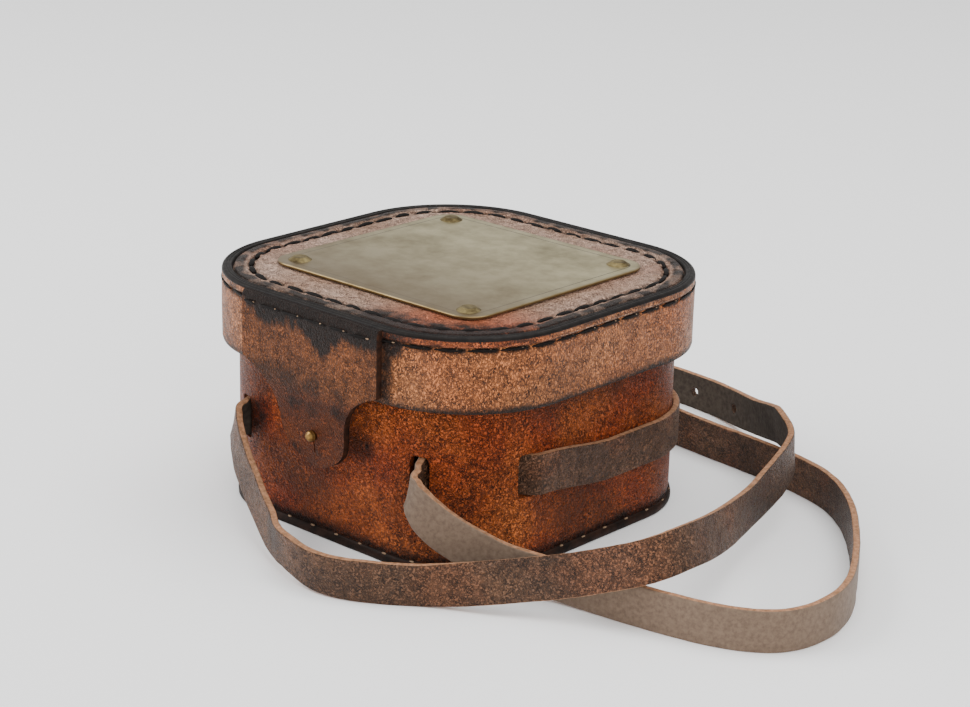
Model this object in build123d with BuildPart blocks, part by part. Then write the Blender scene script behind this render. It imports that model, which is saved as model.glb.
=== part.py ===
from build123d import *
from math import atan2, cos, degrees, hypot, pi, sin, tan
import os

# Moulded leather case for a pocket instrument, in millimetres.
# +Z up, origin at the centre of the base's underside, front (tab side) towards -Y.

# ---- driving dimensions ----
LID_W = 128.0          # lid, outside, along X
LID_D = 126.5          # lid, outside, along Y
LID_CORNER_R = 38.0    # lid, outside corner in plan
LID_TOP_Z = 75.8       # top face of the lid above the floor
LID_EDGE_Z = 52.3      # lower edge of the lid band
LID_TOP_T = 3.0        # top panel
BAND_T = 2.4           # lid band leather
RIM_R = 1.2            # rounded outer edge of the top panel
GROOVE_IN = 3.6        # creased line round the top, in from the outside
GROOVE_W = 0.9
GROOVE_DEEP = 0.6
LID_GAP = 2.9          # between the lid band's inside and the case wall
WALL_T = 3.2           # case wall leather
BASE_T = 3.0           # base panel and welt
WELT_W = 5.0           # width of the welt in plan
WELT_PROUD = 0.8       # welt beyond the wall
EDGE_R = 0.7           # worn edges of cut leather

PLATE_W, PLATE_D, PLATE_T, PLATE_R = 87.0, 83.0, 0.8, 8.0
RIVET_X, RIVET_Y = 72.0, 69.0      # rivet spacing
RIVET_HEAD_R, RIVET_HEAD_H = 3.75, 1.0
RIVET_SHANK_R = 1.2
BURR_R, BURR_T = 3.0, 0.8

TAB_W = 57.6           # wide part of the tab, over the lid band
TAB_T = 2.2            # tab leather
TAB_TOP_GAP = 0.8      # tab's top edge below the top face
TONGUE_HALF = 13.8     # half the width of the tongue at the stud
TONGUE_TIP_Z = 24.8    # lowest point of the tongue
NECK_Z = 40.0          # where the tab's shoulders meet the tongue's sides
SHOULDER_X, SHOULDER_Z = 18.6, 47.9   # middle of each hollow shoulder
TONGUE_LEAN = 8.0      # degrees that the tongue leans in below the lid
FLEX_GAP = 0.3         # gap at a leather bend between two moving leaves
STUD_Z = 35.0
BALL_R, POST_R = 1.8, 1.0
BALL_FACETS = 12       # turned with small flats, pole to pole and back
BALL_CLEAR = 0.25      # between the stud's ball and its hole
STUD_FOOT_R, STUD_FOOT_T = 3.4, 0.8
SCREW_HEAD_R, SCREW_HEAD_T = 3.2, 1.0
WASHER_R, WASHER_T = 4.2, 0.6

HINGE_W = 62.0         # leather hinge at the back
HINGE_T = 2.2
HINGE_UP = 15.0        # height of the leaf on the lid band
HINGE_LOW_Z = 38.2     # lower edge of the leaf on the case wall

STRAP_W, STRAP_T = 12.7, 2.2
SLOT_W, SLOT_END = 6.4, 0.4        # slot width, and spare length at each end
SLOT_X = 37.4          # slots in the front corners
SLOT_Y = 31.5          # slots in the sides, towards the front
SLOT_MID_Z = 29.7      # middle of the strap at every slot
WRAP_SAG = 3.6         # the strap hangs lower round the back than at its slots
SKIN = 0.15            # strap to the leather that it lies on

BUCKLE_WIRE = 2.2
BUCKLE_IN = 14.0       # inside width, along the bar
BUCKLE_LONG = 15.0
BAR_CLEAR = 0.05
KEEPER_W, KEEPER_T = 6.0, 1.2
HOLE_R = 1.6

# ---- derived places ----
lid_x, lid_y = LID_W / 2, LID_D / 2
inset = BAND_T + LID_GAP
wall_x, wall_y, wall_r = lid_x - inset, lid_y - inset, LID_CORNER_R - inset
top_under = LID_TOP_Z - LID_TOP_T
corner_x, corner_y = lid_x - LID_CORNER_R, lid_y - LID_CORNER_R
flex_r = TAB_T / 2
tongue_y, tongue_z = -lid_y - TAB_T / 2, LID_EDGE_Z - flex_r - FLEX_GAP
hinge_r = HINGE_T / 2
hinge_y, hinge_z = lid_y + HINGE_T / 2, LID_EDGE_Z - hinge_r - FLEX_GAP


def plan(offset=0.0, mode=Mode.ADD):
    """The case's rounded square, offset from the wall's outside."""
    return RectangleRounded(2 * (wall_x + offset), 2 * (wall_y + offset), wall_r + offset, mode=mode)


def wall_angle(x=None, y=None):
    """Angle of a corner point of the wall, given how far out it is along X or Y."""
    if x is not None:
        s = (x - corner_x) / wall_r
        return -pi / 2 + atan2(s, (1 - s * s) ** 0.5)
    s = (y - corner_y) / wall_r
    return -atan2(s, (1 - s * s) ** 0.5)


def corner_point(angle, offset, side=1):
    r = wall_r + offset
    return side * (corner_x + r * cos(angle)), -corner_y + r * sin(angle)


front_a, side_a = wall_angle(x=SLOT_X), wall_angle(y=SLOT_Y)


def rounded_route(points, share=0.45):
    """Straight runs joined by tangent arcs: the edges and the arcs' radii."""
    pts = [Vector(*p) for p in points]
    edges, radii, last = [], [], pts[0]
    for a, b, c in zip(pts, pts[1:], pts[2:]):
        u, v = (b - a).normalized(), (c - b).normalized()
        half = u.get_angle(v) / 2 * pi / 180
        if half < 0.004:
            continue
        trim = share * min((b - a).length, (c - b).length)
        radius = trim / tan(half)
        start, end = b - u * trim, b + v * trim
        middle = b + (v - u).normalized() * (radius / cos(half) - radius)
        if (start - last).length > 1e-3:
            edges.append(Edge.make_line(last, start))
        edges.append(Edge.make_three_point_arc(start, middle, end))
        radii.append(radius)
        last = end
    edges.append(Edge.make_line(last, pts[-1]))
    return edges, radii


def strap_on_edge(points, name, width=STRAP_W, thick=STRAP_T):
    """A flat strap whose width stays upright all along its route."""
    edges, radii = rounded_route(points)
    way = Wire(edges)
    run = (way % 0)
    across = Vector(run.Y, -run.X, 0).normalized()
    section = Plane(origin=way @ 0, x_dir=across, z_dir=Vector(run.X, run.Y, 0).normalized())
    with BuildPart() as made:
        with BuildSketch(section):
            Rectangle(thick, width)
        sweep(path=way, binormal=way.moved(Location((0, 0, 4 * width))))
    print(f"{name}: {way.length:.1f} mm long, tightest bend {min(radii):.1f} mm, "
          f"volume {made.part.volume:.0f} against {way.length * width * thick:.0f} mm3")
    return made.part



parts = {}

# ---- case: wall, base panel and the burnished welt round the base ----
with BuildPart() as body_wall:
    with BuildSketch(Plane.XY.offset(BASE_T)):
        plan()
        plan(-WALL_T, Mode.SUBTRACT)
    extrude(amount=top_under - BASE_T)
    chamfer(body_wall.edges().group_by(Axis.Z)[-1], EDGE_R * 0.6)
    # upright slots for the strap, square to the wall
    for side in (1, -1):
        for angle in (front_a, side_a):
            x, y = corner_point(angle, -WALL_T / 2, side)
            turn = degrees(angle) if side > 0 else 180 - degrees(angle)
            with Locations(Location((x, y, SLOT_MID_Z), (0, 0, turn))):
                Box(3 * WALL_T, SLOT_W, STRAP_W + 2 * SLOT_END, mode=Mode.SUBTRACT)
    # the stud's screw passes through the front
    with Locations(Plane(origin=(0, -wall_y, STUD_Z), z_dir=(0, 1, 0))):
        Hole(POST_R, 3 * WALL_T)
parts["body_wall"] = body_wall.part

with BuildPart() as base_panel:
    with BuildSketch():
        plan(WELT_PROUD - WELT_W)
    extrude(amount=BASE_T)
parts["base_panel"] = base_panel.part

with BuildPart() as base_welt:
    with BuildSketch():
        plan(WELT_PROUD)
        plan(WELT_PROUD - WELT_W, Mode.SUBTRACT)
    extrude(amount=BASE_T)
    outer = [e for f in base_welt.faces().group_by(Axis.Z)[-1] for e in f.outer_wire().edges()]
    chamfer(outer, WELT_PROUD * 0.7)
parts["base_welt"] = base_welt.part

# ---- stud: ball, post and foot outside, screw and washer inside ----
lean = TONGUE_LEAN * pi / 180
leaf_in = tongue_y + (tongue_z - STUD_Z) * tan(lean) - flex_r / cos(lean)   # tongue's outer face at the stud
ball_y = leaf_in - BALL_R * 0.45
foot_y = -wall_y
with BuildPart() as stud:
    with BuildSketch(Plane.YZ):
        with Locations((foot_y - STUD_FOOT_T / 2, STUD_FOOT_R / 2)):
            Rectangle(STUD_FOOT_T, STUD_FOOT_R)
        with Locations(((foot_y + ball_y) / 2, POST_R / 2)):
            Rectangle(foot_y - ball_y, POST_R)
        with Locations((ball_y, 0)):
            RegularPolygon(BALL_R, BALL_FACETS)
        with Locations((ball_y, -BALL_R)):
            Rectangle(4 * BALL_R, 2 * BALL_R, mode=Mode.SUBTRACT)
    revolve(axis=Axis.Y)
parts["stud"] = stud.part.moved(Location((0, 0, STUD_Z)))

inside_y = -wall_y + WALL_T
with BuildPart() as stud_washer:
    with BuildSketch(Plane(origin=(0, inside_y, STUD_Z), x_dir=(1, 0, 0), z_dir=(0, 1, 0))):
        Circle(WASHER_R)
        Circle(POST_R, mode=Mode.SUBTRACT)
    extrude(amount=WASHER_T)
parts["stud_washer"] = stud_washer.part

with BuildPart() as stud_screw:
    with BuildSketch(Plane(origin=(0, foot_y, STUD_Z), x_dir=(1, 0, 0), z_dir=(0, 1, 0))):
        Circle(POST_R)
    extrude(amount=WALL_T + WASHER_T)
    with BuildSketch(Plane(origin=(0, inside_y + WASHER_T, STUD_Z), x_dir=(1, 0, 0), z_dir=(0, 1, 0))):
        Circle(SCREW_HEAD_R)
    extrude(amount=SCREW_HEAD_T)
    with BuildSketch(Plane(origin=(0, inside_y + WASHER_T + SCREW_HEAD_T, STUD_Z), x_dir=(1, 0, 0), z_dir=(0, 1, 0))):
        Rectangle(2 * SCREW_HEAD_R + 1, SCREW_HEAD_T * 0.7)
    extrude(amount=-SCREW_HEAD_T * 0.5, mode=Mode.SUBTRACT)
parts["stud_screw"] = stud_screw.part

# ---- lid: band, top panel with its burnished lip, plate and rivets ----
with BuildPart() as lid_band:
    with BuildSketch(Plane.XY.offset(LID_EDGE_Z)):
        plan(inset)
        plan(inset - BAND_T, Mode.SUBTRACT)
    extrude(amount=top_under - LID_EDGE_Z)
    low = [e for f in lid_band.faces().group_by(Axis.Z)[0] for e in f.outer_wire().edges()]
    chamfer(low, EDGE_R * 0.6)
parts["lid_band"] = lid_band.part

rivet_spots = [(x, y) for x in (-RIVET_X / 2, RIVET_X / 2) for y in (-RIVET_Y / 2, RIVET_Y / 2)]
with BuildPart() as lid_top:
    with BuildSketch(Plane.XY.offset(top_under)):
        plan(inset)
    extrude(amount=LID_TOP_T)
    chamfer(lid_top.edges().group_by(Axis.Z)[-1], RIM_R * 0.6)
    with BuildSketch(Plane.XY.offset(LID_TOP_Z)):
        plan(inset - GROOVE_IN)
        plan(inset - GROOVE_IN - GROOVE_W, Mode.SUBTRACT)
    extrude(amount=-GROOVE_DEEP, mode=Mode.SUBTRACT)
    with Locations([(x, y, LID_TOP_Z) for x, y in rivet_spots]):
        Hole(RIVET_SHANK_R, 2 * LID_TOP_T)
parts["lid_top"] = lid_top.part

with BuildPart() as brass_plate:
    with BuildSketch(Plane.XY.offset(LID_TOP_Z)):
        RectangleRounded(PLATE_W, PLATE_D, PLATE_R)
    extrude(amount=PLATE_T)
    chamfer(brass_plate.edges().group_by(Axis.Z)[-1], PLATE_T * 0.3)
    with Locations([(x, y, LID_TOP_Z + PLATE_T) for x, y in rivet_spots]):
        Hole(RIVET_SHANK_R, 2 * PLATE_T)
parts["brass_plate"] = brass_plate.part

plate_top = LID_TOP_Z + PLATE_T
with BuildPart() as plate_rivets:
    with BuildSketch(Plane.XZ):
        with BuildLine():
            Line((0, top_under - BURR_T), (RIVET_SHANK_R, top_under - BURR_T))
            Line((RIVET_SHANK_R, top_under - BURR_T), (RIVET_SHANK_R, plate_top))
            Line((RIVET_SHANK_R, plate_top), (RIVET_HEAD_R, plate_top))
            Line((RIVET_HEAD_R, plate_top), (0.6 * RIVET_HEAD_R, plate_top + RIVET_HEAD_H))
            Line((0.6 * RIVET_HEAD_R, plate_top + RIVET_HEAD_H), (0, plate_top + RIVET_HEAD_H))
            Line((0, plate_top + RIVET_HEAD_H), (0, top_under - BURR_T))
        make_face()
    revolve(axis=Axis.Z)
parts["plate_rivets"] = Compound(children=[plate_rivets.part.moved(Location((x, y, 0))) for x, y in rivet_spots])

with BuildPart() as rivet_burrs:
    with BuildSketch(Plane.XY.offset(top_under - BURR_T)):
        with Locations(rivet_spots):
            Circle(BURR_R)
            Circle(RIVET_SHANK_R, mode=Mode.SUBTRACT)
    extrude(amount=BURR_T)
parts["rivet_burrs"] = rivet_burrs.part

# ---- tab: the upper part is sewn to the lid band, the tongue hangs from it ----
with BuildPart() as tab_upper:
    with BuildSketch(Plane(origin=(0, -lid_y, 0), x_dir=(1, 0, 0), z_dir=(0, -1, 0))):
        with Locations((0, (LID_EDGE_Z + LID_TOP_Z - TAB_TOP_GAP) / 2)):
            Rectangle(TAB_W, LID_TOP_Z - TAB_TOP_GAP - LID_EDGE_Z)
    extrude(amount=TAB_T)
    fillet(tab_upper.faces().sort_by(Axis.Y)[0].edges().filter_by(Axis.Z), EDGE_R)
parts["tab_upper"] = tab_upper.part

with BuildPart() as tab_tongue:
    # the leaf, leaning in, as wide as the tab
    lean_to = Vector(sin(lean), -cos(lean))
    leaf = (tongue_z - TONGUE_TIP_Z) / cos(lean)
    end = Vector(tongue_y, tongue_z) + lean_to * leaf
    out = Vector(-cos(lean), -sin(lean)) * flex_r
    with BuildSketch(Plane.YZ.offset(-TAB_W / 2)):
        with BuildLine():
            Line((tongue_y + out.X, tongue_z + out.Y), (end.X + out.X, end.Y + out.Y))
            Line((end.X + out.X, end.Y + out.Y), (end.X - out.X, end.Y - out.Y))
            Line((end.X - out.X, end.Y - out.Y), (tongue_y - out.X, tongue_z - out.Y))
            ThreePointArc((tongue_y - out.X, tongue_z - out.Y), (tongue_y - lean_to.X * flex_r, tongue_z - lean_to.Y * flex_r),
                          (tongue_y + out.X, tongue_z + out.Y))
        make_face()
    extrude(amount=TAB_W)
    # its outline seen from the front: hollow shoulders and a round tip
    with BuildSketch(Plane(origin=(0, -lid_y + 10, 0), x_dir=(1, 0, 0), z_dir=(0, -1, 0))) as outline:
        with BuildLine():
            top = LID_EDGE_Z + 5
            for s in (1, -1):
                Line((0, top), (s * TAB_W / 2, top))
                Line((s * TAB_W / 2, top), (s * TAB_W / 2, LID_EDGE_Z - 2 * flex_r))
                ThreePointArc((s * TAB_W / 2, LID_EDGE_Z - 2 * flex_r), (s * SHOULDER_X, SHOULDER_Z), (s * TONGUE_HALF, NECK_Z))
                ThreePointArc((s * TONGUE_HALF, NECK_Z), (s * TONGUE_HALF * 0.77, TONGUE_TIP_Z + TONGUE_HALF * 0.36), (0, TONGUE_TIP_Z))
        make_face()
    extrude(amount=30, mode=Mode.INTERSECT)
    # buttonhole, open to the tip, as wide as the ball that it lets through
    with BuildSketch(Plane(origin=(0, -lid_y + 10, 0), x_dir=(1, 0, 0), z_dir=(0, -1, 0))):
        with Locations((0, STUD_Z)):
            Circle(BALL_R + BALL_CLEAR)
        with Locations((0, (STUD_Z + TONGUE_TIP_Z - 2) / 2)):
            Rectangle(2 * (BALL_R + BALL_CLEAR), STUD_Z - TONGUE_TIP_Z + 2)
    extrude(amount=30, mode=Mode.SUBTRACT)
parts["tab_tongue"] = tab_tongue.part

# ---- leather hinge at the back ----
with BuildPart() as hinge_upper:
    with BuildSketch(Plane(origin=(0, lid_y, 0), x_dir=(1, 0, 0), z_dir=(0, 1, 0))):
        with Locations((0, -(LID_EDGE_Z + HINGE_UP / 2))):
            Rectangle(HINGE_W, HINGE_UP)
    extrude(amount=HINGE_T)
    fillet(hinge_upper.faces().sort_by(Axis.Y)[-1].edges().group_by(Axis.Z)[-1], EDGE_R)
parts["hinge_upper"] = hinge_upper.part

# lower leaf: flat on the wall, then out to the bend under the lid's edge
slope_a = atan2(hinge_z - (hinge_z - 4.5), hinge_y - (wall_y + hinge_r))
knee = Vector(wall_y + hinge_r, hinge_z - 4.5)
rise = Vector(cos(slope_a), sin(slope_a))
side_n = Vector(-sin(slope_a), cos(slope_a)) * hinge_r
half_turn = (pi / 2 - slope_a) / 2
corner_in = Vector(wall_y, knee.Y + hinge_r * tan(half_turn))
corner_out = Vector(wall_y + HINGE_T, knee.Y - hinge_r * tan(half_turn))
with BuildPart() as hinge_lower:
    with BuildSketch(Plane.YZ.offset(-HINGE_W / 2)):
        with BuildLine():
            Line((wall_y, HINGE_LOW_Z), (wall_y + HINGE_T, HINGE_LOW_Z))
            Line((wall_y + HINGE_T, HINGE_LOW_Z), (corner_out.X, corner_out.Y))
            Line((corner_out.X, corner_out.Y), (hinge_y - side_n.X, hinge_z - side_n.Y))
            ThreePointArc((hinge_y - side_n.X, hinge_z - side_n.Y), (hinge_y + rise.X * hinge_r, hinge_z + rise.Y * hinge_r),
                          (hinge_y + side_n.X, hinge_z + side_n.Y))
            Line((hinge_y + side_n.X, hinge_z + side_n.Y), (corner_in.X, corner_in.Y))
            Line((corner_in.X, corner_in.Y), (wall_y, HINGE_LOW_Z))
        make_face()
    extrude(amount=HINGE_W)
parts["hinge_lower"] = hinge_lower.part

# ---- carrying strap: round the back outside, in and out of the front corners ----
skin_off = SKIN + STRAP_T / 2
drop = WRAP_SAG


def sag(y):
    """How far the wrap has sunk below the slots at y."""
    t = max(0.0, min(1.0, (y + SLOT_Y - 6) / 34))
    return drop * t * t * (3 - 2 * t)


with BuildPart() as strap_wrap:
    with BuildSketch():
        plan(SKIN + STRAP_T)
        plan(SKIN, Mode.SUBTRACT)
    extrude(amount=LID_EDGE_Z)
    with BuildSketch(Plane.YZ.offset(-LID_W)):
        ys = [-SLOT_Y + 1.5 + k * 6.5 for k in range(8)] + [wall_y + 5]
        with BuildLine():
            up = Spline(*[(y, SLOT_MID_Z + STRAP_W / 2 - sag(y)) for y in ys])
            dn = Spline(*[(y, SLOT_MID_Z - STRAP_W / 2 - sag(y)) for y in ys])
            Line(up @ 0, dn @ 0)
            Line(up @ 1, dn @ 1)
        make_face()
    extrude(amount=2 * LID_W, mode=Mode.INTERSECT)
parts["strap_wrap"] = strap_wrap.part

# inner runs, through a side slot, round inside the corner and out of a front slot
step = pi / 180
in_off = -WALL_T - skin_off


def inner_points(side):
    inside = [side_a - 9 * step + k * (front_a - side_a + 18 * step) / 4 for k in range(5)]
    polar = [(skin_off, side_a + 8 * step), (skin_off, side_a + 4.6 * step), (in_off, side_a - 4.6 * step)]
    polar += [(in_off, a) for a in inside] + [(in_off, front_a + 3.4 * step), (-1.5, front_a), (0.5, front_a)]
    return [(*corner_point(a, off, side), SLOT_MID_Z) for off, a in polar]


parts["strap_inner_right"] = strap_on_edge(inner_points(1), "strap_inner_right")
parts["strap_inner_left"] = strap_on_edge(inner_points(-1), "strap_inner_left")

# free ends: they leave the front slots, drop to the floor and lie there on edge
edge_z = STRAP_W / 2
start_left = (*corner_point(front_a, 0.5, -1), SLOT_MID_Z)
start_right = (*corner_point(front_a, 0.5, 1), SLOT_MID_Z)
left_route = [start_left, (-38.9, -60.0, 28.4), (-34.6, -62.6, 24.6), (-27.3, -67.7, 23.0), (-15.4, -74.9, 20.3),
              (-0.2, -83.1, 16.2), (12.7, -87.7, 9.6), (27.7, -89.4, 6.8), (42.5, -82.7, edge_z), (57.2, -71.1, edge_z),
              (72.6, -60.1, 8.8), (87.0, -51.2, 12.2), (100.4, -46.5, 17.1), (111.4, -40.1, 21.1), (114.9, -24.4, 22.8),
              (107.8, -1.9, 18.1), (99.3, 24.7, 16.0), (94.4, 46.2, 19.1), (86.5, 64.8, 20.0), (73.5, 76.0, 21.2),
              (63.9, 86.2, 17.6), (45.1, 102.1, 10.6), (29.0, 112.2, 7.3), (12.9, 118.0, edge_z), (-10.0, 119.6, edge_z),
              (-36.0, 118.4, edge_z)]
BAR_X, BAR_Y, BAR_Z = -20.0, 84.2, 9.8     # buckle's bar, behind the case
fold_in = BUCKLE_WIRE / 2 + BAR_CLEAR
layer = fold_in + STRAP_T / 2
ENTRY = 22.0           # straight run in to the bar
right_route = [start_right, (38.6, -60.3, 28.6), (40.2, -62.4, 25.8), (45.4, -61.9, 21.0), (52.8, -57.0, 14.7),
               (65.6, -48.6, 8.9), (80.4, -42.8, 6.8), (105.4, -39.7, edge_z), (131.2, -34.9, edge_z),
               (147.8, -25.1, edge_z), (151.4, -7.1, edge_z), (146.5, 10.1, edge_z), (136.7, 26.6, edge_z),
               (125.7, 42.7, edge_z), (113.2, 58.1, edge_z), (97.9, 71.5, edge_z), (80.3, 77.7, edge_z),
               (59.8, 80.7, edge_z), (34.9, 83.1, edge_z), (15.0, 85.6, 6.8), (BAR_X + ENTRY, BAR_Y + layer, 8.4),
               (BAR_X, BAR_Y + layer, BAR_Z)]

HOLE_AT = [(29.5, 111.9, 7.4), (6.8, 118.3, edge_z), (-16.0, 119.3, edge_z)]
TIP = 9.0
THROUGH = 4 * STRAP_T   # a cut's reach past the strap's middle, on each side
left = strap_on_edge(left_route, "strap_end_left")
with BuildPart() as strap_end_left:
    add(left)
    with Locations(*[Location(p, (90, 0, 0)) for p in HOLE_AT]):
        Cylinder(HOLE_R, THROUGH, mode=Mode.SUBTRACT)
    # the end is cut to a blunt point
    with BuildSketch(Plane(origin=(left_route[-1][0], left_route[-1][1], edge_z), x_dir=(1, 0, 0), z_dir=(0, -1, 0))):
        for s in (1, -1):
            with BuildLine():
                Polyline((-1, 0.25 * STRAP_W * s), (TIP, 0.55 * STRAP_W * s), (-1, 0.55 * STRAP_W * s), close=True)
            make_face()
    extrude(amount=THROUGH, both=True, mode=Mode.SUBTRACT)
parts["strap_end_left"] = strap_end_left.part
PRONG_R = 0.9
PRONG_SLIT = 2 * PRONG_R + 1.2
SLIT_LONG = 4 * STRAP_T + 2 * fold_in
right = strap_on_edge(right_route, "strap_end_right")
with BuildPart() as strap_end_right:
    add(right)
    # the prong's slit runs on into the strap from the fold
    with Locations((BAR_X, BAR_Y, BAR_Z)):
        Box(SLIT_LONG, 2 * THROUGH, PRONG_SLIT, mode=Mode.SUBTRACT)
parts["strap_end_right"] = strap_end_right.part

# ---- buckle: the strap's end turns round its bar and is sewn back; a keeper goes round both layers ----
FOLD_BACK = 24.0
with BuildPart() as strap_fold:
    with BuildSketch(Plane.XY.offset(BAR_Z - STRAP_W / 2)):
        with Locations((BAR_X, BAR_Y)):
            Circle(fold_in + STRAP_T)
            Circle(fold_in, mode=Mode.SUBTRACT)
        with Locations((BAR_X + THROUGH / 2, BAR_Y)):
            Rectangle(THROUGH, THROUGH, mode=Mode.SUBTRACT)
        with Locations((BAR_X + FOLD_BACK / 2, BAR_Y - layer)):
            Rectangle(FOLD_BACK, STRAP_T)
    extrude(amount=STRAP_W)
    # slit for the prong
    with Locations((BAR_X, BAR_Y, BAR_Z)):
        Box(SLIT_LONG, 2 * THROUGH, PRONG_SLIT, mode=Mode.SUBTRACT)
parts["strap_fold"] = strap_fold.part

buckle_plane = Plane(origin=(BAR_X - BUCKLE_LONG / 2 - BUCKLE_WIRE / 2, BAR_Y, BAR_Z), x_dir=(1, 0, 0), z_dir=(0, -1, 0))
with BuildPart() as buckle_frame:
    with BuildSketch(buckle_plane):
        RectangleRounded(BUCKLE_LONG + 2 * BUCKLE_WIRE, BUCKLE_IN + 2 * BUCKLE_WIRE, 2.6)
        Rectangle(BUCKLE_LONG, BUCKLE_IN, mode=Mode.SUBTRACT)
        with Locations((BUCKLE_LONG / 2 + BUCKLE_WIRE / 2, 0)):
            Rectangle(BUCKLE_WIRE + 0.02, BUCKLE_IN, mode=Mode.SUBTRACT)
    extrude(amount=BUCKLE_WIRE / 2, both=True)
    # the bar is round wire, so that the prong turns on it
    with Locations((BAR_X, BAR_Y, BAR_Z)):
        Cylinder(BUCKLE_WIRE / 2, BUCKLE_IN + BUCKLE_WIRE)
parts["buckle_frame"] = buckle_frame.part

with BuildPart() as buckle_prong:
    prong_in = BUCKLE_WIRE / 2 + BAR_CLEAR
    prong_y = -(BUCKLE_WIRE / 2 + PRONG_R + 0.05)
    with Locations((BAR_X, BAR_Y, BAR_Z)):
        Cylinder(prong_in + 2 * PRONG_R * 0.7, 2 * PRONG_R)
        Cylinder(prong_in, 4 * PRONG_R, mode=Mode.SUBTRACT)
    # tapering finger that lies on the far side of the frame
    with BuildSketch(Plane(origin=(BAR_X - prong_in - 0.3, BAR_Y + prong_y, BAR_Z), x_dir=(0, 1, 0), z_dir=(-1, 0, 0))):
        Rectangle(1.8 * PRONG_R, 1.8 * PRONG_R)
    with BuildSketch(Plane(origin=(BAR_X - BUCKLE_LONG - BUCKLE_WIRE - 1.2, BAR_Y + prong_y, BAR_Z), x_dir=(0, 1, 0), z_dir=(-1, 0, 0))):
        Rectangle(1.2 * PRONG_R, 1.2 * PRONG_R)
    loft()
parts["buckle_prong"] = buckle_prong.part

with BuildPart() as strap_keeper:
    keeper_y, keeper_z = 2 * (layer + STRAP_T / 2 + SKIN) + 0.6, STRAP_W + 2 * SKIN
    with BuildSketch(Plane(origin=(BAR_X + 11, BAR_Y, BAR_Z), x_dir=(0, 1, 0), z_dir=(1, 0, 0))):
        RectangleRounded(keeper_y + 2 * KEEPER_T, keeper_z + 2 * KEEPER_T + 1.6, 1.6)
        Rectangle(keeper_y, keeper_z + 1.6, mode=Mode.SUBTRACT)
    extrude(amount=KEEPER_W)
parts["strap_keeper"] = strap_keeper.part

os.makedirs("parts", exist_ok=True)
for name, part in parts.items():
    part.label = name
    export_step(part, f"parts/{name}.step")
    box = part.bounding_box()
    print(f"{name}: {part.volume:.0f} mm3, x {box.min.X:.1f}..{box.max.X:.1f}, y {box.min.Y:.1f}..{box.max.Y:.1f}, z {box.min.Z:.1f}..{box.max.Z:.1f}")
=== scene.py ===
import math

import bmesh
import bpy
from mathutils import Matrix, Vector, noise


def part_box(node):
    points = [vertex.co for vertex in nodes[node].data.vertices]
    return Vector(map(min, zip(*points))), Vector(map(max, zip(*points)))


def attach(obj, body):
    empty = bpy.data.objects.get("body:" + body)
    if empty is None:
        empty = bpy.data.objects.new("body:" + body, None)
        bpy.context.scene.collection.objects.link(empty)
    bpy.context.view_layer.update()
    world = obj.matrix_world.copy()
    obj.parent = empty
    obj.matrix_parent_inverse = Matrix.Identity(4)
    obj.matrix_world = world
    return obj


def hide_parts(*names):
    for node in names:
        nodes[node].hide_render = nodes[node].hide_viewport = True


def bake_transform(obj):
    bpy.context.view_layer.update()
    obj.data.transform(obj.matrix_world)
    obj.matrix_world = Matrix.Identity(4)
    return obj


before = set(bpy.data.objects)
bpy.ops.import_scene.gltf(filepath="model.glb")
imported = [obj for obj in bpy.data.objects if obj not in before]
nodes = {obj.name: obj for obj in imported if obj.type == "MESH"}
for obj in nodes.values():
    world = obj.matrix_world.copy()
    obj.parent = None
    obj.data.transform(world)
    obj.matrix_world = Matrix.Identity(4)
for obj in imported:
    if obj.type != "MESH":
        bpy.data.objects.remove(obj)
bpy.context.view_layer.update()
scene = bpy.context.scene
MM = 0.001
DEG = math.pi / 180

# ---------------------------------------------------------------- sizes, in millimetres
LID_W, LID_D, LID_R = 128.0, 126.5, 38.0        # lid: across, deep, corner radius
TOP_Z, EDGE_Z, UNDER_Z = 75.8, 52.3, 72.8       # lid: top, lower edge, underside of the top
INSET = 5.3            # wall of the case, in from the lid's outline
BAND_T, WALL_T, BASE_T = 2.4, 3.2, 3.0
STITCH = 9.6           # one stitch to the next, along the top and the side
STITCH_IN = 9.2        # top stitching, in from the lid's edge
STITCH_DOWN = 3.9      # side stitching, below the top
LIP_W, PAD_AT = 3.2, 6.2        # width of the waxed lip; middle of the padding between it and the stitches
STRAP_W, STRAP_T = 12.7, 2.2
SLOT_Z, SLOT_X, SLOT_Y = 29.7, 37.4, 31.5       # middles of the strap's slots, at the front and at the sides
SLOT_WIDE, SLOT_CLEAR = 6.4, 0.8
STUD_Z, STUD_HOLE_R = 35.0, 1.35
TAB_W, TAB_T, TAB_LEAN = 57.6, 2.2, math.radians(8)
HINGE_HALF, HINGE_T = 31, 2.2
PLATE_X, PLATE_Y, PLATE_R = 43.5, 41.5, 8       # half the plate across and deep, and its corner radius
LINE_IN, LINE_HALF = 3.2, 0.16                  # its engraved line, in from the edge, and half its width

TURN_X, TURN_Y = LID_W / 2 - LID_R, LID_D / 2 - LID_R       # middle of a corner
WALL_Y, WALL_R = LID_D / 2 - INSET, LID_R - INSET
CORNER = math.pi / 2 * LID_R
LEGS = [2 * TURN_X, CORNER, 2 * TURN_Y, CORNER, 2 * TURN_X, CORNER, 2 * TURN_Y, CORNER]
ROUND = sum(LEGS)                               # once round the lid
STITCHES_ROUND = round(ROUND / STITCH)
PITCH = ROUND / STITCHES_ROUND


# ---------------------------------------------------------------- small helpers
def linear(code):
    """A #RRGGBB colour as linear light."""
    part = [int(code[i:i + 2], 16) / 255 for i in (1, 3, 5)]
    return tuple(c / 12.92 if c <= 0.04045 else ((c + 0.055) / 1.055) ** 2.4 for c in part) + (1,)


def per(size):
    """The scale that makes a pattern this many millimetres wide."""
    return 1000 / size


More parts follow.
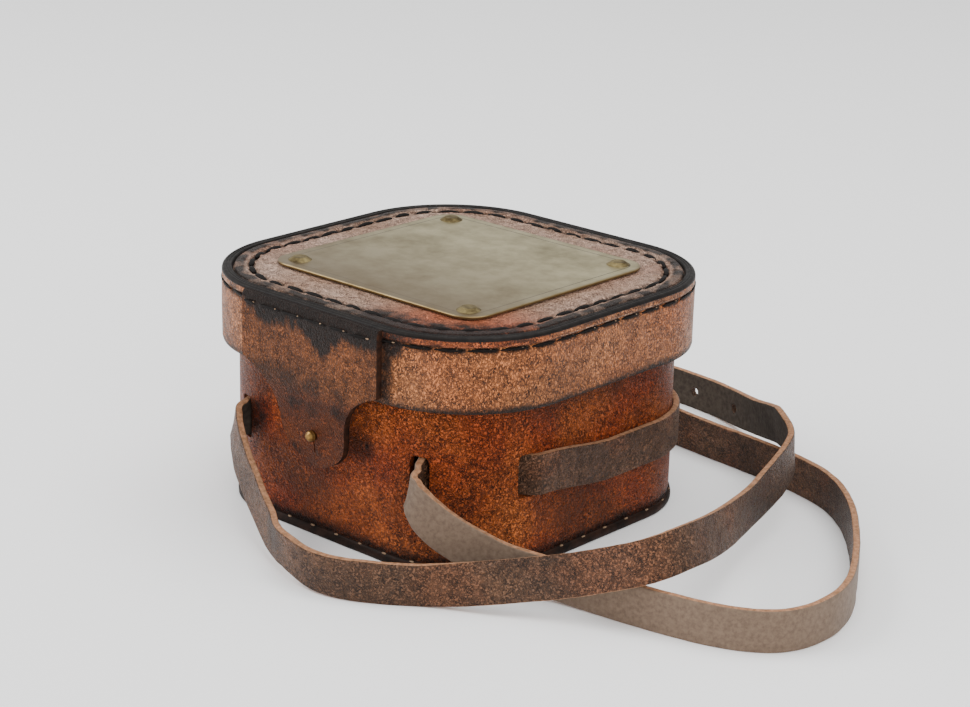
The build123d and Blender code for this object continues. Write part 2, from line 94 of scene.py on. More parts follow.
def add(tree, kind, links=None, **settings):
    """One node with its settings; links gives an input, by name or number, a value or another node's output."""
    node = tree.nodes.new(kind)
    for key, value in settings.items():
        setattr(node, key, value)
    for key, value in (links or {}).items():
        if isinstance(value, bpy.types.NodeSocket):
            tree.links.new(value, node.inputs[key])
        else:
            node.inputs[key].default_value = value
    return node


def placed(name, data):
    """A new object in the scene that holds this mesh, curve, camera or light."""
    obj = bpy.data.objects.new(name, data)
    scene.collection.objects.link(obj)
    return obj


def turn_outwards(mesh, merge=0.0):
    """The mesh's faces point outwards, after points nearer than merge have become one."""
    bm = bmesh.new()
    bm.from_mesh(mesh)
    if merge:
        bmesh.ops.remove_doubles(bm, verts=bm.verts, dist=merge)
    bmesh.ops.recalc_face_normals(bm, faces=bm.faces)
    bm.to_mesh(mesh)
    bm.free()


def mesh_object(name, verts, faces):
    """A smooth skin from points given in millimetres."""
    mesh = bpy.data.meshes.new(name)
    mesh.from_pydata([tuple(c * MM for c in v) for v in verts], [], faces)
    mesh.validate()
    turn_outwards(mesh, merge=1e-6)
    for face in mesh.polygons:
        face.use_smooth = True
    return placed(name, mesh)


def curve_object(name, kind, points):
    """A curve of one spline of this kind through, or led by, points given in millimetres."""
    curve = bpy.data.curves.new(name, "CURVE")
    curve.dimensions = "3D"
    spline = curve.splines.new(kind)
    spline.points.add(len(points) - 1)
    for knot, point in zip(spline.points, points):
        knot.co = (*(c * MM for c in point), 1)
    return placed(name, curve)


def settle(obj):
    """The object's modifiers become its mesh."""
    bpy.context.view_layer.update()
    shape = bpy.data.meshes.new_from_object(obj.evaluated_get(bpy.context.evaluated_depsgraph_get()))
    name = obj.name
    if obj.type == "CURVE":
        bpy.data.objects.remove(obj)
        obj = placed(name, shape)
    else:
        obj.modifiers.clear()
        obj.data = shape
    shape.name = name
    return obj


def round_edges(obj, width):
    """Cut edges rubbed round, by width in millimetres."""
    bevel = obj.modifiers.new("worn edges", "BEVEL")
    bevel.width, bevel.segments = width * MM, 3
    bevel.limit_method, bevel.angle_limit = "ANGLE", math.radians(60)
    return settle(obj)


def cut(obj, tool):
    """The object with the tool's shape taken out of it; the tool goes."""
    step = obj.modifiers.new("cut", "BOOLEAN")
    step.object, step.operation, step.solver = tool, "DIFFERENCE", "EXACT"
    obj = settle(obj)
    bpy.data.objects.remove(tool)
    return obj


def smooth_by_angle(obj, angle):
    """Smooth shading, but for edges sharper than the angle in degrees."""
    with bpy.context.temp_override(object=obj, active_object=obj, selected_objects=[obj],
                                   selected_editable_objects=[obj]):
        bpy.ops.object.shade_smooth_by_angle(angle=math.radians(angle))


def tool_from(name, bm, place):
    """A block or a rod for cutting with, from a mesh put in its place."""
    bm.transform(place)
    mesh = bpy.data.meshes.new(name)
    bm.to_mesh(mesh)
    bm.free()
    return placed(name, mesh)


def solid_box(name, centre, size, turn=0.0, rounded=0.0):
    """A block for cutting with; rounded takes its long corners off, by a share of the size."""
    bm = bmesh.new()
    bmesh.ops.create_cube(bm, size=1.0)
    if rounded:
        corners = [e for e in bm.edges if abs((e.verts[0].co - e.verts[1].co).x) > 0.5]
        bmesh.ops.bevel(bm, geom=corners, offset=rounded, segments=4, profile=0.5, affect="EDGES")
    place = Matrix.Translation(Vector(centre) * MM) @ Matrix.Rotation(turn, 4, "Z")
    return tool_from(name, bm, place @ Matrix.Diagonal((*[c * MM for c in size], 1)))


def solid_rod(name, centre, way, radius, length):
    """A rod for cutting with, its length along way."""
    bm = bmesh.new()
    bmesh.ops.create_cone(bm, cap_ends=True, segments=48, radius1=radius * MM, radius2=radius * MM,
                          depth=length * MM)
    turn = Vector((0, 0, 1)).rotation_difference(Vector(way)).to_matrix().to_4x4()
    return tool_from(name, bm, Matrix.Translation(Vector(centre) * MM) @ turn)


# ---------------------------------------------------------------- camera
FOCAL_PIXELS, PHOTO_PIXELS, SENSOR = 2406.76, 970, 36       # lens and width of the photo, and a 36 mm sensor


def place_camera(azimuth, elevation, roll, distance, across, up_by):
    a, e, r = (math.radians(v) for v in (azimuth, elevation, roll))
    back = Vector((math.sin(a) * math.cos(e), -math.cos(a) * math.cos(e), math.sin(e)))
    right = Vector((math.cos(a), math.sin(a), 0))
    up = back.cross(right)
    right, up = (right * math.cos(r) + up * math.sin(r)), (up * math.cos(r) - right * math.sin(r))
    cam = placed("Camera", bpy.data.cameras.new("Camera"))
    cam.matrix_world = Matrix((right, up, back)).transposed().to_4x4()
    cam.location = back * distance + right * across + up * up_by
    cam.data.sensor_width = SENSOR
    cam.data.lens = FOCAL_PIXELS / PHOTO_PIXELS * SENSOR
    cam.data.clip_start, cam.data.clip_end = 0.02, 50
    scene.camera = cam


place_camera(azimuth=42.10, elevation=18.53, roll=1.37, distance=0.77897, across=0.009758, up_by=0.043873)


# ---------------------------------------------------------------- the rounded square
def outline(offset, count):
    """Evenly spaced points of the lid's outline moved out by offset: x, y, normal x and y, distance along."""
    points = []
    for i in range(count):
        s = ROUND * i / count
        left = s
        for k, leg in enumerate(LEGS):
            if left <= leg:
                break
            left -= leg
        side = k // 2
        base = -math.pi / 2 + side * math.pi / 2     # outward direction of this side
        n = Vector((math.cos(base), math.sin(base)))
        t = Vector((-n.y, n.x))
        half_t, half_n = (TURN_X, TURN_Y) if side % 2 == 0 else (TURN_Y, TURN_X)
        if k % 2 == 0:
            p = n * (half_n + LID_R) + t * (left - half_t)
            m = n
        else:
            turn = left / LID_R
            m = Vector((math.cos(base + turn), math.sin(base + turn)))
            p = n * half_n + t * half_t + m * LID_R
        points.append((p.x + m.x * offset, p.y + m.y * offset, m.x, m.y, s))
    return points


def along(x, y):
    """Distance along the lid's outline of its point nearest to x, y."""
    cx, cy = max(-TURN_X, min(TURN_X, x)), max(-TURN_Y, min(TURN_Y, y))
    quarter = (math.atan2(y - cy, x - cx) + math.pi / 2) % (2 * math.pi)
    if quarter < math.pi - 1e-6:
        return quarter * LID_R + cx + TURN_X + cy + TURN_Y
    return quarter * LID_R + 2 * (TURN_X + TURN_Y) + TURN_X - cx + TURN_Y - cy


def in_from_edge(x, y):
    """Distance in from the lid's outline."""
    ax, ay = abs(x) - TURN_X, abs(y) - TURN_Y
    return LID_R - (math.hypot(max(ax, 0), max(ay, 0)) + min(max(ax, ay), 0))


def ring_skin(name, rings, count, filled=False):
    """A closed skin round the outline. Each ring is (offset, z), or a function that gives them for a distance
    along. The last ring joins the first or, where filled, these two are filled."""
    base = outline(0, count)
    verts, faces = [], []
    for ring in rings:
        for x, y, nx, ny, s in base:
            off, z = ring(s) if callable(ring) else ring
            verts.append((x + nx * off, y + ny * off, z))
    for i in range(len(rings) - 1 if filled else len(rings)):
        j = (i + 1) % len(rings)
        for k in range(count):
            m = (k + 1) % count
            faces.append((i * count + k, i * count + m, j * count + m, j * count + k))
    if filled:
        last = (len(rings) - 1) * count
        faces.append(tuple(range(count)))
        faces.append(tuple(range(last, last + count)))
    return mesh_object(name, verts, faces)


def corner_point(angle, offset, side=1):
    """A point of the wall's front right corner, or front left where side is -1, moved out by offset."""
    r = WALL_R + offset
    return side * (TURN_X + r * math.cos(angle)), -TURN_Y + r * math.sin(angle)


# where the slots are, as angles of the corner's arc
FRONT_SLOT = -math.pi / 2 + math.asin((SLOT_X - TURN_X) / WALL_R)
SIDE_SLOT = -math.asin((SLOT_Y - TURN_Y) / WALL_R)


# ---------------------------------------------------------------- amounts for painting and shaping
def ramp(value, low, high):
    """0 below low, 1 above high, eased between."""
    t = max(0.0, min(1.0, (value - low) / (high - low)))
    return t * t * (3 - 2 * t)


def hump(value, middle, width):
    """1 at the middle, dying away over the width."""
    return math.exp(-((value - middle) / width) ** 2)


def between(table, x):
    """The straight-line value at x in a rising table of (x, value); its ends hold beyond it."""
    if x <= table[0][0]:
        return table[0][1]
    for (xa, a), (xb, b) in zip(table, table[1:]):
        if x <= xb:
            return a + (b - a) * (x - xa) / (xb - xa)
    return table[-1][1]


def patchy(x, y, z, size, seed):
    """Clouds of this size, from 0 to 1."""
    return 0.5 + 0.5 * noise.noise(Vector((x / size + seed, y / size - seed, z / size + 2 * seed)))


def blob(x, y, z, spot, radius):
    """A soft round patch."""
    return 1 - ramp((Vector((x, y, z)) - Vector(spot)).length, radius * 0.35, radius)


def blobs(x, y, z, table):
    """The strongest of several soft patches, each (middle, radius, strength)."""
    return max((strength * blob(x, y, z, spot, radius) for spot, radius, strength in table), default=0.0)


def on_stitch(s):
    """1 along a stitch, 0 between two."""
    phase = (s / PITCH + 0.5) % 1.0
    return ramp(phase, 0.05, 0.2) * (1 - ramp(phase, 0.8, 0.95))


def paint(obj, **layers):
    """Per-point amounts that the leathers read: each layer is a function of x, y, z in millimetres."""
    mesh = obj.data
    for key, amount in layers.items():
        layer = mesh.attributes.new(key, "FLOAT", "POINT")
        amounts = [max(0.0, min(1.0, amount(*(v.co / MM)))) for v in mesh.vertices]
        layer.data.foreach_set("value", amounts)


def wear(obj, *mats):
    """These materials and no others."""
    obj.data.materials.clear()
    for m in mats:
        obj.data.materials.append(m)
    return obj


def faced(obj, material, picked):
    """Another material for the faces that picked(x, y, z) chooses, such as the flesh side within the case."""
    obj.data.materials.append(material)
    last = len(obj.data.materials) - 1
    for face in obj.data.polygons:
        if picked(*(face.center / MM)):
            face.material_index = last


# ---------------------------------------------------------------- materials
RUBBED, RED_DYE, BLACKING, BLACKING_ROUGH = "#E07C3E", "#AC3A1C", "#120D0B", 0.42
CLOUD_SIZE, FIBRE_SIZE, SWAY = 24, 3.0, 0.9     # the dye's clouds, fine unevenness, the grain's sway, in mm


def new_material(name):
    mat = bpy.data.materials.new(name)
    mat.use_nodes = True
    mat.node_tree.nodes.clear()
    return mat, mat.node_tree


def leather(name, light, deep, crease, grain, rough, creases, pores, depth, shine, upright=1.0):
    """Vegetable-tanned leather: uneven dye over a pebbled grain whose creases and pores are darker than its
    crowns. light, deep and crease are its dye where rubbed, where soaked in and down in the grain. grain is one
    pebble in millimetres, upright stretches the pebbles along Z and depth is their relief in millimetres.
    creases and pores are how strongly these show. The layers dark (burnished, wax-black, and in places painted
    shade), warm (rubbed through to orange) and red come from the piece."""
    mat, t = new_material(name)
    place = add(t, "ShaderNodeTexCoord").outputs["Object"]
    cloud = add(t, "ShaderNodeTexNoise", {
        "Vector": place, "Scale": per(CLOUD_SIZE), "Detail": 5.0, "Roughness": 0.6})
    fine = add(t, "ShaderNodeTexNoise", {
        "Vector": place, "Scale": per(FIBRE_SIZE), "Detail": 4.0, "Roughness": 0.65})
    # pebbles, drawn upright and made uneven
    drawn = add(t, "ShaderNodeVectorMath", {0: place, 1: (1.0, 1.0, 1.0 / upright)}, operation="MULTIPLY")
    sway = add(t, "ShaderNodeVectorMath", {0: fine.outputs["Color"], 1: (SWAY * MM,) * 3},
               operation="MULTIPLY")
    bent = add(t, "ShaderNodeVectorMath", {0: drawn.outputs[0], 1: sway.outputs[0]},
               operation="ADD").outputs[0]
    pebble = add(t, "ShaderNodeTexVoronoi", {"Vector": bent, "Scale": per(grain)}, feature="SMOOTH_F1")
    pore = add(t, "ShaderNodeTexNoise", {
        "Vector": bent, "Scale": per(0.9 * grain), "Detail": 2.0, "Roughness": 0.7})
    crinkle = add(t, "ShaderNodeTexNoise", {
        "Vector": bent, "Scale": per(2.2 * grain), "Detail": 3.0, "Roughness": 0.6})
    # creases run where the crinkle passes its middle value; pores are its low places
    off = add(t, "ShaderNodeMath", {0: crinkle.outputs["Fac"], 1: 0.5}, operation="SUBTRACT")
    away = add(t, "ShaderNodeMath", {0: off.outputs[0]}, operation="ABSOLUTE")
    valley = add(t, "ShaderNodeMapRange", {
        "Value": away.outputs[0], "From Min": 0.004, "From Max": 0.045, "To Min": creases, "To Max": 0.0})
    pit = add(t, "ShaderNodeMapRange", {
        "Value": pore.outputs["Fac"], "From Min": 0.40, "From Max": 0.53, "To Min": pores, "To Max": 0.0})
    drift = add(t, "ShaderNodeMapRange", {
        "Value": fine.outputs["Fac"], "From Min": 0.35, "From Max": 0.65, "To Min": 1.25, "To Max": 0.55})
    sunk = add(t, "ShaderNodeMath", {0: valley.outputs[0], 1: pit.outputs[0]}, operation="MAXIMUM")
    worked = add(t, "ShaderNodeMath", {0: sunk.outputs[0], 1: drift.outputs[0]}, operation="MULTIPLY",
                 use_clamp=True)
    # the dye, then the painted layers over it
    soak = add(t, "ShaderNodeMapRange", {"Value": cloud.outputs["Fac"], "From Min": 0.36, "From Max": 0.64})
    dye = add(t, "ShaderNodeMix", {0: soak.outputs[0], 6: linear(deep), 7: linear(light)}, data_type="RGBA")
    warm = add(t, "ShaderNodeAttribute", attribute_name="warm")
    glow = add(t, "ShaderNodeMix", {
        0: warm.outputs["Fac"], 6: dye.outputs[2], 7: linear(RUBBED)}, data_type="RGBA")
    red = add(t, "ShaderNodeAttribute", attribute_name="red")
    ruby = add(t, "ShaderNodeMix", {
        0: red.outputs["Fac"], 6: glow.outputs[2], 7: linear(RED_DYE)}, data_type="RGBA")
    grained = add(t, "ShaderNodeMix", {
        0: worked.outputs[0], 6: ruby.outputs[2], 7: linear(crease)}, data_type="RGBA")
    dark = add(t, "ShaderNodeAttribute", attribute_name="dark")
    fray = add(t, "ShaderNodeMapRange", {
        "Value": fine.outputs["Fac"], "From Min": 0.3, "From Max": 0.7, "To Min": -0.22, "To Max": 0.22})
    edge = add(t, "ShaderNodeMath", {0: dark.outputs["Fac"], 1: fray.outputs[0]}, operation="ADD")
    black = add(t, "ShaderNodeMapRange", {
        "Value": edge.outputs[0], "From Min": 0.16, "From Max": 0.88, "To Max": 0.96})
    colour = add(t, "ShaderNodeMix", {
        0: black.outputs[0], 6: grained.outputs[2], 7: linear(BLACKING)}, data_type="RGBA")
    # finish and relief; blacked leather is smoother
    dull = add(t, "ShaderNodeMapRange", {
        "Value": fine.outputs["Fac"], "From Min": 0.3, "From Max": 0.7,
        "To Min": rough + 0.1, "To Max": rough - 0.06})
    gloss = add(t, "ShaderNodeMix", {0: black.outputs[0], 2: dull.outputs[0], 3: BLACKING_ROUGH})
    flat = add(t, "ShaderNodeMapRange", {"Value": black.outputs[0], "To Min": -1.0, "To Max": -0.45})
    low = add(t, "ShaderNodeMath", {0: worked.outputs[0], 1: flat.outputs[0]}, operation="MULTIPLY")
    dome = add(t, "ShaderNodeMath", {0: pebble.outputs["Distance"], 1: -0.8, 2: low.outputs[0]},
               operation="MULTIPLY_ADD")
    lift = add(t, "ShaderNodeMath", {0: fine.outputs["Fac"], 1: 0.8, 2: dome.outputs[0]},
               operation="MULTIPLY_ADD")
    bump = add(t, "ShaderNodeBump", {"Height": lift.outputs[0], "Strength": 1.0, "Distance": depth * MM})
    skin = add(t, "ShaderNodeBsdfPrincipled", {
        "Base Color": colour.outputs[2], "Roughness": gloss.outputs[0], "Normal": bump.outputs[0],
        "Specular IOR Level": shine})
    add(t, "ShaderNodeOutputMaterial", {"Surface": skin.outputs[0]})
    return mat


def plain(name, colour, rough, second, size, relief, metallic=0.0, shine=0.5, sheen=0.0, span=(0.35, 0.65)):
    """A finish of two close colours that run into each other over size millimetres."""
    mat, t = new_material(name)
    place = add(t, "ShaderNodeTexCoord").outputs["Object"]
    cloud = add(t, "ShaderNodeTexNoise", {
        "Vector": place, "Scale": per(size), "Detail": 6.0, "Roughness": 0.62}).outputs["Fac"]
    share = add(t, "ShaderNodeMapRange", {"Value": cloud, "From Min": span[0], "From Max": span[1]})
    mix = add(t, "ShaderNodeMix", {
        0: share.outputs[0], 6: linear(second), 7: linear(colour)}, data_type="RGBA")
    gloss = add(t, "ShaderNodeMapRange", {
        "Value": cloud, "From Min": 0.3, "From Max": 0.7, "To Min": min(1, rough + 0.12), "To Max": rough})
    bump = add(t, "ShaderNodeBump", {"Height": cloud, "Strength": relief, "Distance": 0.2 * MM})
    skin = add(t, "ShaderNodeBsdfPrincipled", {
        "Base Color": mix.outputs[2], "Metallic": metallic, "Roughness": gloss.outputs[0],
        "Normal": bump.outputs[0], "Specular IOR Level": shine, "Sheen Weight": sheen})
    add(t, "ShaderNodeOutputMaterial", {"Surface": skin.outputs[0]})
    return mat


# lid: russet shoulder leather, dyed thinly by hand and polished; the stretch has drawn its fine grain upright
LID = leather("russet_lid_leather", "#DB8D58", "#B46F41", "#2C150B", grain=0.55, rough=0.38,
              creases=0.85, pores=0.85, upright=1.5, depth=0.95, shine=0.3)
# lid top: the same hide, paler and greyer; this colour holds painted sheen of the light falling on the top
TOP = leather("pale_top_leather_painted_sheen", "#DCB8A2", "#BC947A", "#3E271C", grain=0.5, rough=0.42,
              creases=0.85, pores=0.8, depth=0.6, shine=0.16)
# case: the same leather soaked dark, with the dye pooled in a coarser grain
CASE = leather("dark_case_leather", "#BE612F", "#8F4321", "#190A05", grain=0.7, rough=0.34,
               creases=0.9, pores=0.65, depth=1.2, shine=0.14)
# tab and hinge: thick leather, dyed like the lid and darker where fingers pull it
TAB = leather("tab_leather", "#975931", "#744426", "#1F0F07", grain=0.5, rough=0.4,
              creases=0.8, pores=0.8, upright=1.4, depth=0.8, shine=0.16)
# strap, grain side: dry pebbled grain, grey-brown over a red-brown ground
STRAP = leather("strap_grain_leather", "#865F45", "#694B38", "#1E140E", grain=0.66, rough=0.4,
                creases=0.85, pores=0.75, depth=1.2, shine=0.26)
# strap, flesh side: undyed suede nap, soft and matt; and a darker copy where the dye has soaked through,
# darkened further as painted shade
FLESH = plain("strap_flesh_suede", "#786555", 0.85, second="#655447", size=1.3, relief=0.5,
              shine=0.2, sheen=0.1)
FLESH_STAINED_AND_SHADED = plain("strap_flesh_stained_and_shaded", "#453C34", 0.85, second="#352D27", size=1.6, relief=0.5, shine=0.2)
# cut edges: bare tan fibre
CUT = plain("cut_leather_edge", "#AE8060", 0.75, second="#7C593F", size=1.4, relief=0.6, shine=0.2)
# edges of the tab: rubbed down and stained dark brown, made near-black as painted shade along the edge
TAB_EDGE_STAIN_AND_SHADE = plain("stained_and_shaded_leather_edge", "#3A2216", 0.5, second="#1A100B", size=1.8, relief=0.4,
                  shine=0.15)
# inside of the case: unfinished flesh side
INSIDE = plain("raw_inside_leather", "#86644A", 0.85, second="#664834", size=2.2, relief=0.5,
               shine=0.2, sheen=0.1)
# lip: edge black rubbed in, dull
LIP = plain("blacked_lip_leather", "#1B1613", 0.42, second="#0E0B0A", size=3.0, relief=0.5, shine=0.12)
# welt: the same black worn through to brown
WELT = plain("worn_welt_leather", "#2E1B12", 0.5, second="#120C09", size=5.0, relief=0.6, shine=0.12)
# black waxed linen thread, and the pale core where the wax has worn off
THREAD = plain("waxed_linen_thread", "#16110F", 0.5, second="#0A0807", size=0.8, relief=0.6, shine=0.1)
PALE = plain("bare_linen_thread", "#A88A6C", 0.6, second="#4A3424", size=0.6, relief=0.4)
# stud and buckle: cast and turned brass, polished then dulled; the rivets are duller
BRASS = plain("turned_brass", "#A07C48", 0.3, second="#6E5430", size=2.5, relief=0.05, metallic=1.0)
RIVET = plain("aged_brass_rivets", "#857752", 0.55, second="#4A3F2A", size=3.0, relief=0.1, metallic=1.0)


def plate_finish():
    """Sheet brass, rolled and aged: pale olive, clouds of brown tarnish, and one engraved line round it."""
    mat = plain("aged_sheet_brass", "#BDB188", 0.30, second="#857A56", size=14.0, relief=0.04, metallic=1.0,
                span=(0.30, 0.62))
    t = mat.node_tree
    skin = next(n for n in t.nodes if n.type == "BSDF_PRINCIPLED")
    under = skin.inputs["Base Color"].links[0].from_socket
    place = next(n for n in t.nodes if n.type == "TEX_COORD").outputs["Object"]
    # gap: the distance from the middle of a corner, which is the corner radius at the plate's edge
    fold = add(t, "ShaderNodeVectorMath", {0: place}, operation="ABSOLUTE")
    middle = ((PLATE_X - PLATE_R) * MM, (PLATE_Y - PLATE_R) * MM, 1.0)
    corner = add(t, "ShaderNodeVectorMath", {0: fold.outputs[0], 1: middle}, operation="SUBTRACT")
    beyond = add(t, "ShaderNodeVectorMath", {0: corner.outputs[0], 1: (0.0, 0.0, 0.0)}, operation="MAXIMUM")
    reach = add(t, "ShaderNodeVectorMath", {0: beyond.outputs[0]}, operation="LENGTH")
    split = add(t, "ShaderNodeSeparateXYZ", {0: corner.outputs[0]})
    most = add(t, "ShaderNodeMath", {0: split.outputs[0], 1: split.outputs[1]}, operation="MAXIMUM")
    inner = add(t, "ShaderNodeMath", {0: most.outputs[0], 1: 0.0}, operation="MINIMUM")
    gap = add(t, "ShaderNodeMath", {0: reach.outputs["Value"], 1: inner.outputs[0]}, operation="ADD")
    line = add(t, "ShaderNodeMath", {0: gap.outputs[0], 1: (PLATE_R - LINE_IN) * MM, 2: LINE_HALF * MM},
               operation="COMPARE")
    ink = add(t, "ShaderNodeMix", {0: line.outputs[0], 6: under, 7: linear("#3A3122")}, data_type="RGBA")
    # brown tarnish along the rim, and more of it towards the front
    rim = add(t, "ShaderNodeMapRange", {
        "Value": gap.outputs[0], "From Min": (PLATE_R - 1.2) * MM, "From Max": PLATE_R * MM, "To Max": 0.6})
    deep = add(t, "ShaderNodeSeparateXYZ", {0: place}).outputs[1]
    front = add(t, "ShaderNodeMapRange", {
        "Value": deep, "From Min": 20 * MM, "From Max": -40 * MM, "To Max": 0.8})
    aged = add(t, "ShaderNodeMath", {0: rim.outputs[0], 1: front.outputs[0]}, operation="MAXIMUM")
    brown = add(t, "ShaderNodeMix", {
        0: aged.outputs[0], 6: ink.outputs[2], 7: linear("#6B5534")}, data_type="RGBA")
    t.links.new(brown.outputs[2], skin.inputs["Base Color"])
    return mat


PLATE = plate_finish()


# ---------------------------------------------------------------- stitching
def stitch_tree():
    """Beads of thread, one to each length of seam, lying along it."""
    tree = bpy.data.node_groups.new("stitches along a seam", "GeometryNodeTree")
    face = tree.interface
    face.new_socket("Seam", in_out="INPUT", socket_type="NodeSocketGeometry")
    inputs = {}
    for label, kind in (("Stitches", "NodeSocketInt"), ("Length", "NodeSocketFloat"),
                        ("Thickness", "NodeSocketFloat"), ("Thread", "NodeSocketMaterial")):
        inputs[label] = face.new_socket(label, in_out="INPUT", socket_type=kind).identifier
    face.new_socket("Geometry", in_out="OUTPUT", socket_type="NodeSocketGeometry")
    given = add(tree, "NodeGroupInput").outputs
    seam = add(tree, "GeometryNodeResampleCurve", {"Curve": given["Seam"], "Count": given["Stitches"]},
               mode="COUNT")
    ball = add(tree, "GeometryNodeMeshUVSphere", {"Segments": 8, "Rings": 10, "Radius": 0.5})
    size = add(tree, "ShaderNodeCombineXYZ", {
        0: given["Thickness"], 1: given["Thickness"], 2: given["Length"]})
    bead = add(tree, "GeometryNodeTransform", {"Geometry": ball.outputs[0], "Scale": size.outputs[0]})
    way = add(tree, "GeometryNodeInputTangent")
    turn = add(tree, "FunctionNodeAlignRotationToVector", {"Vector": way.outputs[0]}, axis="Z")
    uneven = add(tree, "FunctionNodeRandomValue", {0: (0.82, 0.82, 0.80), 1: (1.15, 1.15, 1.08)},
                 data_type="FLOAT_VECTOR")
    laid = add(tree, "GeometryNodeInstanceOnPoints", {
        "Points": seam.outputs[0], "Instance": bead.outputs[0], "Rotation": turn.outputs[0],
        "Scale": uneven.outputs[0]})
    real = add(tree, "GeometryNodeRealizeInstances", {0: laid.outputs[0]})
    done = add(tree, "GeometryNodeSetMaterial", {"Geometry": real.outputs[0], "Material": given["Thread"]})
    shade = add(tree, "GeometryNodeSetShadeSmooth", {0: done.outputs[0]})
    add(tree, "NodeGroupOutput", {0: shade.outputs[0]})
    return tree, inputs


STITCHES, STITCH_INPUTS = stitch_tree()


def sew(name, points, count, length, thick, thread, closed=True):
    """Stitches of one thread along a seam given in millimetres."""
    obj = curve_object(name, "POLY", points)
    obj.data.splines[0].use_cyclic_u = closed
    step = obj.modifiers.new("stitches", "NODES")
    step.node_group = STITCHES
    given = {"Stitches": count, "Length": length * MM, "Thickness": thick * MM, "Thread": thread}
    for label, value in given.items():
        step[STITCH_INPUTS[label]] = value
    return settle(obj)


# ---------------------------------------------------------------- lid top
ROLL_R = 1.2           # the lip's rolled edge
# the lip's sunk lines: middle, in from the edge, and width
LIP_LINE, LIP_CREASE, LIP_FOLD = (1.5, 0.18), (2.35, 0.18), (LIP_W + 0.35, 0.4)
TOP_RING = 960         # points in one ring round the lid
LIP_FOOT, SKIN_FOOT = 74.6, 73.1        # heights where the lip's black ends and where the outside ends
FIELD_Z = 75           # the top's field, near enough for its painted patches
BLACKED, FURTHER, WORN = ((40, -58, FIELD_Z), 50), ((34, -56, FIELD_Z), 36), ((48, -52, FIELD_Z), 40)


def top_height(d, s):
    """Height of the lid's top, d in from its edge and s along it: rolled lip, creases, padding, stitches sunk
    in, flat field."""
    z = TOP_Z - 0.15
    if d < ROLL_R:
        z -= 1.05 - math.sqrt(max(0.0, ROLL_R ** 2 - (ROLL_R - d) ** 2)) * 1.05 / ROLL_R
    z -= 0.3 * hump(d, *LIP_LINE) + 0.3 * hump(d, *LIP_CREASE) + 1.2 * hump(d, *LIP_FOLD)
    z -= 0.25 * ramp(d, 7.5, 9)
    z += 0.15 * hump(d, PAD_AT, 1.5)
    pull = on_stitch(s)
    z -= hump(d, STITCH_IN, 1.15) * (0.1 + 1.0 * pull)
    z += 0.15 * hump(d, STITCH_IN + 2.4, 1.2) * pull - 0.35 * hump(d, PAD_AT + 1, 1.2) * (1 - pull)
    return min(z, TOP_Z)


def top_ring(d):
    """The ring d in from the edge, uneven inside the lip."""
    def at(s):
        uneven = 0.10 * noise.noise(Vector((s / 9, d / 4, 3))) - 0.1 if d > LIP_W + 0.2 else 0
        return -d, top_height(d, s) + uneven
    return at


# closer together where the lip, the creases and the stitches need it
TOP_STEPS = [0, 0.12, 0.35, 0.7, 1.0, 1.2, 1.35, 1.5, 1.65, 1.85, 2.1, 2.25, 2.4, 2.6, 2.9, 3.1, 3.3, 3.45,
             3.65, 3.85, 4.1, 4.5, 4.9, 5.4, 5.9, 6.4, 6.9, 7.4, 7.8, 8.1, 8.4, 8.7, 9.0, 9.3, 9.7, 10.0, 10.3,
             10.7, 11.2, 11.8, 12.6, 14, 16.5, 20, 24, 29, 33]
under = [(off, UNDER_Z + 0.01) for off in (-33, -2, 0)] + [(0, z) for z in (SKIN_FOOT, 73.4, 73.7, 74.0, 74.3)]
lid_top = ring_skin("lid_top_leather", under + [top_ring(d) for d in TOP_STEPS], TOP_RING, filled=True)


def smoky(x, y):
    """Where the black of the lip has been brushed on down over the tab and beside it."""
    return ramp(x, -26, -18) * (1 - ramp(x, 36, 42)) * (y < 0)


def top_dark(x, y, z):
    d = in_from_edge(x, y)
    if z < SKIN_FOOT and d > 1:
        return 0.0
    if d < 0.35:
        scuffed = 0.7 * ramp(patchy(x, y, 3 * z, 5, 3.0), 0.48, 0.75)
        return max(ramp(z, 74.1, 74.8), scuffed, 0.8 * smoky(x, y))
    lip = 1 - ramp(d, LIP_W + 0.1, LIP_W + 0.9)
    # painted shade in the dents where the stitches sink in, darkest at each stitch
    seam = hump(d, STITCH_IN + 0.1, 1.35) * (0.1 + 0.9 * on_stitch(along(x, y)))
    pad = (1 - ramp(d, 6.4, 8.0)) * (0.62 + 0.38 * ramp(patchy(x, y, 0, 6, 4.0), 0.36, 0.58))
    # the front corner's stitching has been blacked over as one band
    front = ramp(d, 2, 3) * (1 - ramp(d, 9.8, 12.5)) * blob(x, y, FIELD_Z, *BLACKED)
    cloud = 0.5 + 0.5 * ramp(patchy(x, y, 0, 5, 6.0), 0.35, 0.6)
    further = (1 - ramp(d, 11.5, 19)) * blob(x, y, FIELD_Z, *FURTHER) * cloud
    return max(lip, seam, 0.95 * pad, front, further)


def top_warm(x, y, z):
    return 0.9 * blob(x, y, z, *WORN) * (0.4 + 0.6 * patchy(x, y, z, 8, 1.0))


def top_red(x, y, z):
    return 0.45 * blob(x, y, z, *WORN) + 0.12 * ramp(patchy(x, y, z, 16, 7.0), 0.55, 0.8)


paint(lid_top, dark=top_dark, warm=top_warm, red=top_red)
wear(lid_top, TOP)
faced(lid_top, LIP, lambda x, y, z: in_from_edge(x, y) < LIP_W + 0.5 and z > LIP_FOOT)
faced(lid_top, LID, lambda x, y, z: in_from_edge(x, y) < 0.3 and SKIN_FOOT < z < LIP_FOOT)
faced(lid_top, INSIDE, lambda x, y, z: z < SKIN_FOOT and in_from_edge(x, y) > 1.0)

# ---------------------------------------------------------------- lid side
SEAM_Z = TOP_Z - STITCH_DOWN
STREAKS = ((32, -64, 72), 8)            # black run down beside the tab


